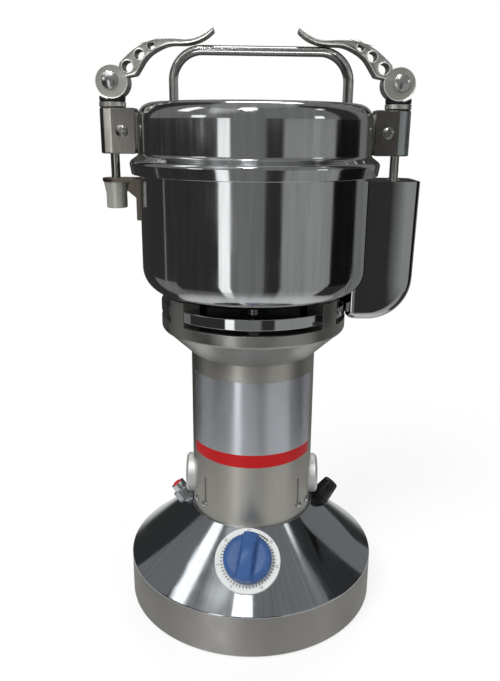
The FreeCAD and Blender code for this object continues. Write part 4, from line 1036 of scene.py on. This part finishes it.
# ---------------------------------------------------------------- inside
class AddInside(bpy.types.Operator):
    """Cutters on their hub, and the motor's hidden parts"""
    bl_idname = "grinder.add_inside"
    bl_label = "Cutters and Motor"

    def execute(self, context):
        for name in ("lower", "middle", "upper"):
            eased("blade_" + name, "cutter_" + name, "blade steel", 0.15)
        eased("cutter_spacers", "hub_spacers", "blade steel", 0.3)
        eased("cutter_nut", "crown_nut", "chrome", 0.3)
        eased("shaft_seal", "hub_seal", "silicone", 0.4)
        inner = {
            "brush_holders": "brass", "carbon_brushes": "carbon", "brush_springs": "blade steel",
            "timer_body": "phenolic", "reset_body": "phenolic", "bearing_bracket": "casting",
            "lower_bearing": "chrome", "upper_bearing": "chrome", "stator": "lamination",
            "field_coils": "copper", "motor_shaft": "blade steel", "armature": "lamination",
            "commutator": "copper", "cooling_fan": "phenolic",
        }
        for node, key in inner.items():
            finished(node, key)
        return {"FINISHED"}


# ---------------------------------------------------------------- stage
# The metal reflects a painted room that only glossy rays see: a low round wall of upright flats close to
# the set, a high loft around it, and plain cards that stand or hang inside them.
WHITE = "#FFFFFF"
FLOOR_SIZE = 8.0
ROOM_FOOT = -0.05
WALL_R, WALL_TOP = 0.4, 0.335
LOFT_R, LOFT_TOP = 2.0, 5.6
# one tone above a height, which the low wall never reaches, and one on the floor close to the object
UPPER_TONE, NEAR_TONE = "#989898", "#D0D0D0"
WALL_FADE, LOFT_FADE = 9.0, 5.4
# strength of the white world as light on the object
WORLD_LIGHT = 0.38

# greys of the painted flats and cards
BLACK_FLAT, DARK_FLAT, GREY_FLAT, PALE_FLAT = "#181818", "#383838", "#808080", "#A0A0A0"
# width in degrees of the soft seam between two flats
SEAM = 2.0
# flats of the wall and the loft: azimuth off the front at which each begins, towards the right, and grey
WALL_FLATS = (
    (-180.0, DARK_FLAT), (-30.0, WHITE), (-20.0, GREY_FLAT), (10.0, DARK_FLAT), (25.0, PALE_FLAT),
    (75.0, BLACK_FLAT), (110.0, GREY_FLAT), (130.0, DARK_FLAT),
)
LOFT_FLATS = (
    (-180.0, GREY_FLAT), (-150.0, DARK_FLAT), (-115.0, GREY_FLAT), (85.0, DARK_FLAT), (115.0, GREY_FLAT),
)

# distances at which the cards stand: beside the base, by the wall and by the loft
BY_BASE, BY_WALL, BY_LOFT = 0.2, 0.385, 1.95
# top of the slim card, below the lid
LEDGE = 0.285
# cards: distance, azimuth and half width in degrees, foot and top in metres, strength, tone
CARDS = (
    (BY_WALL, -90.0, 0.7, 0.0, LEDGE, 1.0, PALE_FLAT),
    (BY_WALL, -26.0, 5.0, 0.0, WALL_TOP, 1.5, WHITE),
    (BY_BASE, -130.0, 28.0, 0.02, 0.2, 1.0, DARK_FLAT),
    (BY_BASE, -87.0, 16.0, 0.05, 0.19, 1.0, GREY_FLAT),
    (BY_BASE, 82.0, 16.0, 0.05, 0.165, 1.0, DARK_FLAT),
    (BY_BASE, 122.0, 24.0, 0.055, 0.2, 1.0, GREY_FLAT),
    (BY_LOFT, -80.0, 8.0, 1.6, 3.2, 2.0, WHITE),
    (BY_LOFT, -10.0, 18.0, 2.9, 5.2, 2.2, WHITE),
    (BY_LOFT, 85.0, 5.0, 2.3, 2.75, 1.6, WHITE),
    (BY_LOFT, -53.0, 7.0, 0.5, 0.9, 1.8, WHITE),
    (BY_LOFT, 61.0, 5.0, 0.5, 0.9, 1.8, WHITE),
)

# soft lamps: name, place, size and power; all aim at the middle of the object
LAMPS = (
    ("key_lamp", (-1.56, -2.08, 3.12), 1.3, 100.0),
    ("fill_lamp", (2.34, -1.56, 2.34), 1.6, 24.0),
    ("small_lamp", (-0.05, -0.37, 0.74), 0.05, 0.5),
    ("back_lamp", (0.26, 2.08, 3.12), 1.6, 40.0),
)
LAMP_AIM = Vector((0.0, 0.0, 0.18))

# camera: place, turn down from level and roll in degrees, lens, and shift in pixels of the render's height
CAMERA_PLACE = (0.0, -0.4392, 0.3155)
CAMERA_DOWN, CAMERA_ROLL = 16.9, 0.56
CAMERA_LENS = 36.476
CAMERA_SHIFT, RENDER_HEIGHT = -3.1, 681.0


def painted(name):
    """A new material with an empty node tree."""
    material = bpy.data.materials.new(name)
    material.use_nodes = True
    material.node_tree.nodes.clear()
    return material, material.node_tree


def seen_by_eye(tree):
    """Light path, and 1 for camera, glossy and transmission rays."""
    path = add_node(tree, "ShaderNodeLightPath")
    seen = add_node(tree, "ShaderNodeMath", {"operation": "MAXIMUM"},
                    links={0: (path, "Is Camera Ray"), 1: (path, "Is Glossy Ray")})
    shown = add_node(tree, "ShaderNodeMath", {"operation": "MAXIMUM"},
                     links={0: (seen, "Value"), 1: (path, "Is Transmission Ray")})
    return path, shown


def room_azimuth(tree):
    """Object coordinates, their axes, and the share of a full turn from the back, through the left."""
    coords = add_node(tree, "ShaderNodeTexCoord")
    split = add_node(tree, "ShaderNodeSeparateXYZ", links={"Vector": (coords, "Object")})
    front = add_node(tree, "ShaderNodeMath", {"operation": "MULTIPLY"}, {1: -1.0}, {0: (split, "Y")})
    turn = add_node(tree, "ShaderNodeMath", {"operation": "ARCTAN2"},
                    links={0: (split, "X"), 1: (front, "Value")})
    share = add_node(tree, "ShaderNodeMapRange",
                     values={"From Min": -math.pi, "From Max": math.pi, "To Min": 0.0, "To Max": 1.0},
                     links={"Value": (turn, "Value")})
    return coords, split, share


def tone_ramp(tree, share, flats):
    """Flats around the room, each from its azimuth off the front to the next one's, with soft seams."""
    ramp = add_node(tree, "ShaderNodeValToRGB", links={"Fac": (share, "Result")})
    stops = ramp.color_ramp.elements
    while len(stops) > 1:
        stops.remove(stops[0])
    stops[0].position = 0.0
    stops[0].color = opaque(from_hex(flats[0][1]))
    ends = [start for start, _ in flats[1:]] + [180.0 + SEAM]
    for (start, tone), end in zip(flats, ends):
        for azimuth in (start, end - SEAM):
            stop = stops.new((azimuth + 180.0) / 360.0)
            stop.color = opaque(from_hex(tone))
    return ramp


def pale_floor():
    """Matt white board that takes the object's shadow; metal sees the wall's tones further out."""
    material, tree = painted("white painted board")
    path, shown = seen_by_eye(tree)
    coords, _, turn = room_azimuth(tree)
    away = add_node(tree, "ShaderNodeVectorMath", {"operation": "LENGTH"},
                    links={"Vector": (coords, "Object")})
    fade = add_node(tree, "ShaderNodeMapRange", {"interpolation_type": "SMOOTHSTEP"},
                    {"From Min": 0.1, "From Max": 0.55, "To Min": 0.8, "To Max": 1.0},
                    {"Value": (away, "Value")})
    share = add_node(tree, "ShaderNodeMath", {"operation": "MULTIPLY"},
                     links={0: (shown, "Value"), 1: (fade, "Result")})
    far = add_node(tree, "ShaderNodeMapRange", {"interpolation_type": "SMOOTHSTEP"},
                   {"From Min": 0.14, "From Max": 0.3, "To Min": 0.0, "To Max": 1.0},
                   {"Value": (away, "Value")})
    room = add_node(tree, "ShaderNodeMix", {"data_type": "RGBA"}, {"A": opaque(from_hex(NEAR_TONE))},
                    {"Factor": (far, "Result"), "B": (tone_ramp(tree, turn, WALL_FLATS), "Color")})
    tone = add_node(tree, "ShaderNodeMix", {"data_type": "RGBA"}, {"B": opaque(from_hex(WHITE))},
                    {"Factor": (path, "Is Camera Ray"), "A": (room, "Result")})
    paint = add_node(tree, "ShaderNodeBsdfDiffuse", values={"Color": opaque(from_hex("#F4F4F4"))})
    glow = add_node(tree, "ShaderNodeEmission", values={"Strength": 1.0},
                    links={"Color": (tone, "Result")})
    mix = add_node(tree, "ShaderNodeMixShader",
                   links={0: (share, "Value"), 1: (paint, "BSDF"), 2: (glow, "Emission")})
    add_node(tree, "ShaderNodeOutputMaterial", links={"Surface": (mix, "Shader")})
    return material


def room_finish(name, tones, fade):
    """Painted flats as metal shows them: upright bands, and one tone above the height fade."""
    material, tree = painted(name)
    _, split, share = room_azimuth(tree)
    above = add_node(tree, "ShaderNodeMapRange", {"interpolation_type": "SMOOTHSTEP"},
                     {"From Min": 0.9 * fade, "From Max": fade, "To Min": 0.0, "To Max": 1.0},
                     {"Value": (split, "Z")})
    room = add_node(tree, "ShaderNodeMix", {"data_type": "RGBA"}, {"B": opaque(from_hex(UPPER_TONE))},
                    {"Factor": (above, "Result"), "A": (tone_ramp(tree, share, tones), "Color")})
    glow = add_node(tree, "ShaderNodeEmission", values={"Strength": 1.0},
                    links={"Color": (room, "Result")})
    add_node(tree, "ShaderNodeOutputMaterial", links={"Surface": (glow, "Emission")})
    return material


def card_finish(strength, tone):
    """Plain card lit from behind."""
    material, tree = painted("lit panel")
    glow = add_node(tree, "ShaderNodeEmission",
                    values={"Color": opaque(from_hex(tone)), "Strength": strength})
    add_node(tree, "ShaderNodeOutputMaterial", links={"Surface": (glow, "Emission")})
    return material


def shown_in_gloss(obj):
    """Stage piece that only reflections see."""
    obj.visible_camera = False
    obj.visible_diffuse = False
    obj.visible_shadow = False
    obj.visible_transmission = False


def room_wall(name, radius, top, tones, fade, cap):
    """Round wall about the set; above the height fade it has one tone."""
    bpy.ops.object.select_all(action="DESELECT")
    bpy.ops.mesh.primitive_cylinder_add(
        vertices=96, radius=radius, depth=top - ROOM_FOOT, end_fill_type=cap,
        location=(0.0, 0.0, (ROOM_FOOT + top) / 2.0))
    room = bpy.context.object
    room.name = name
    bpy.ops.object.transform_apply(location=True, rotation=False, scale=False)
    room.data.materials.append(room_finish("painted flats of " + name, tones, fade))
    shown_in_gloss(room)


def lit_card(radius, azimuth, half, foot, top, strength, tone):
    """Upright card that faces the set."""
    turn = math.radians(azimuth)
    bpy.ops.object.select_all(action="DESELECT")
    bpy.ops.mesh.primitive_plane_add(
        size=1.0, location=(radius * math.sin(turn), -radius * math.cos(turn), (foot + top) / 2.0),
        rotation=(math.radians(90.0), 0.0, turn))
    card = bpy.context.object
    card.name = "lit_panel"
    card.scale = (2.0 * radius * math.tan(math.radians(half)), top - foot, 1.0)
    card.data.materials.append(card_finish(strength, tone))
    shown_in_gloss(card)


def lamp(name, place, size, power):
    """Square soft lamp aimed at the object."""
    data = bpy.data.lights.new(name, "AREA")
    data.size = size
    data.energy = power
    obj = bpy.data.objects.new(name, data)
    bpy.context.scene.collection.objects.link(obj)
    obj.location = place
    obj.rotation_euler = (LAMP_AIM - Vector(place)).to_track_quat("-Z", "Y").to_euler()


def pale_world(world):
    """White all around: full strength to the eye and in gloss, less as light on the object."""
    world.use_nodes = True
    tree = world.node_tree
    background = tree.nodes["Background"]
    _, shown = seen_by_eye(tree)
    strength = add_node(tree, "ShaderNodeMapRange",
                        values={"From Min": 0.0, "From Max": 1.0, "To Min": WORLD_LIGHT, "To Max": 1.0},
                        links={"Value": (shown, "Value")})
    tree.links.new(strength.outputs["Result"], background.inputs["Strength"])
    background.inputs["Color"].default_value = opaque(from_hex(WHITE))


def main_camera():
    """Camera before the lid, looking down a little, with a trace of roll."""
    data = bpy.data.cameras.new("main_camera")
    data.lens = CAMERA_LENS
    data.shift_x = CAMERA_SHIFT / RENDER_HEIGHT
    holder = bpy.data.objects.new("main_camera", data)
    bpy.context.scene.collection.objects.link(holder)
    holder.matrix_world = (Matrix.Translation(CAMERA_PLACE)
                           @ Matrix.Rotation(math.radians(90.0 - CAMERA_DOWN), 4, "X")
                           @ Matrix.Rotation(math.radians(CAMERA_ROLL), 4, "Z"))
    return holder


class AddStage(bpy.types.Operator):
    """Pale floor and world, soft lamps, painted room with its cards, and the camera"""
    bl_idname = "grinder.add_stage"
    bl_label = "Stage"

    def execute(self, context):
        bpy.ops.object.select_all(action="DESELECT")
        bpy.ops.mesh.primitive_plane_add(size=FLOOR_SIZE, location=(0.0, 0.0, 0.0))
        floor = context.object
        floor.name = "floor"
        floor.data.materials.append(pale_floor())
        context.scene.world = bpy.data.worlds.new("pale room")
        pale_world(context.scene.world)
        room_wall("studio_wall", WALL_R, WALL_TOP, WALL_FLATS, WALL_FADE, "NOTHING")
        room_wall("studio_loft", LOFT_R, LOFT_TOP, LOFT_FLATS, LOFT_FADE, "NGON")
        for card in CARDS:
            lit_card(*card)
        for each in LAMPS:
            lamp(*each)
        context.scene.camera = main_camera()
        context.scene.view_settings.view_transform = "Standard"
        return {"FINISHED"}


# ---------------------------------------------------------------- add-on
STEPS = (AddBase, AddMotorTube, AddLabel, AddNeck, AddBowl, AddLid, AddLidHandle, AddSideHandle,
         AddBracket, AddClamps, AddTimer, AddSideControls, AddInside, AddStage)


class GrinderPanel(bpy.types.Panel):
    """Buttons for the grinder's pieces"""
    bl_idname = "VIEW3D_PT_grinder"
    bl_label = "Grinder"
    bl_space_type = "VIEW_3D"
    bl_region_type = "UI"
    bl_category = "Grinder"

    def draw(self, context):
        column = self.layout.column()
        for step in STEPS:
            column.operator(step.bl_idname)


CLASSES = (GrinderSizes, GrinderColours) + STEPS + (GrinderPanel,)


def register():
    for cls in CLASSES:
        bpy.utils.register_class(cls)
    bpy.types.Scene.grinder_sizes = bpy.props.PointerProperty(type=GrinderSizes)
    bpy.types.Scene.grinder_colours = bpy.props.PointerProperty(type=GrinderColours)


def unregister():
    del bpy.types.Scene.grinder_colours
    del bpy.types.Scene.grinder_sizes
    for cls in reversed(CLASSES):
        bpy.utils.unregister_class(cls)


def main():
    register()
    bpy.ops.grinder.add_base()
    bpy.ops.grinder.add_motor_tube()
    bpy.ops.grinder.add_label()
    bpy.ops.grinder.add_neck()
    bpy.ops.grinder.add_bowl()
    bpy.ops.grinder.add_lid()
    bpy.ops.grinder.add_lid_handle()
    bpy.ops.grinder.add_side_handle()
    bpy.ops.grinder.add_bracket()
    bpy.ops.grinder.add_clamps()
    bpy.ops.grinder.add_timer()
    bpy.ops.grinder.add_side_controls()
    bpy.ops.grinder.add_inside()
    bpy.ops.grinder.add_stage()


if __name__ == "__main__":
    main()
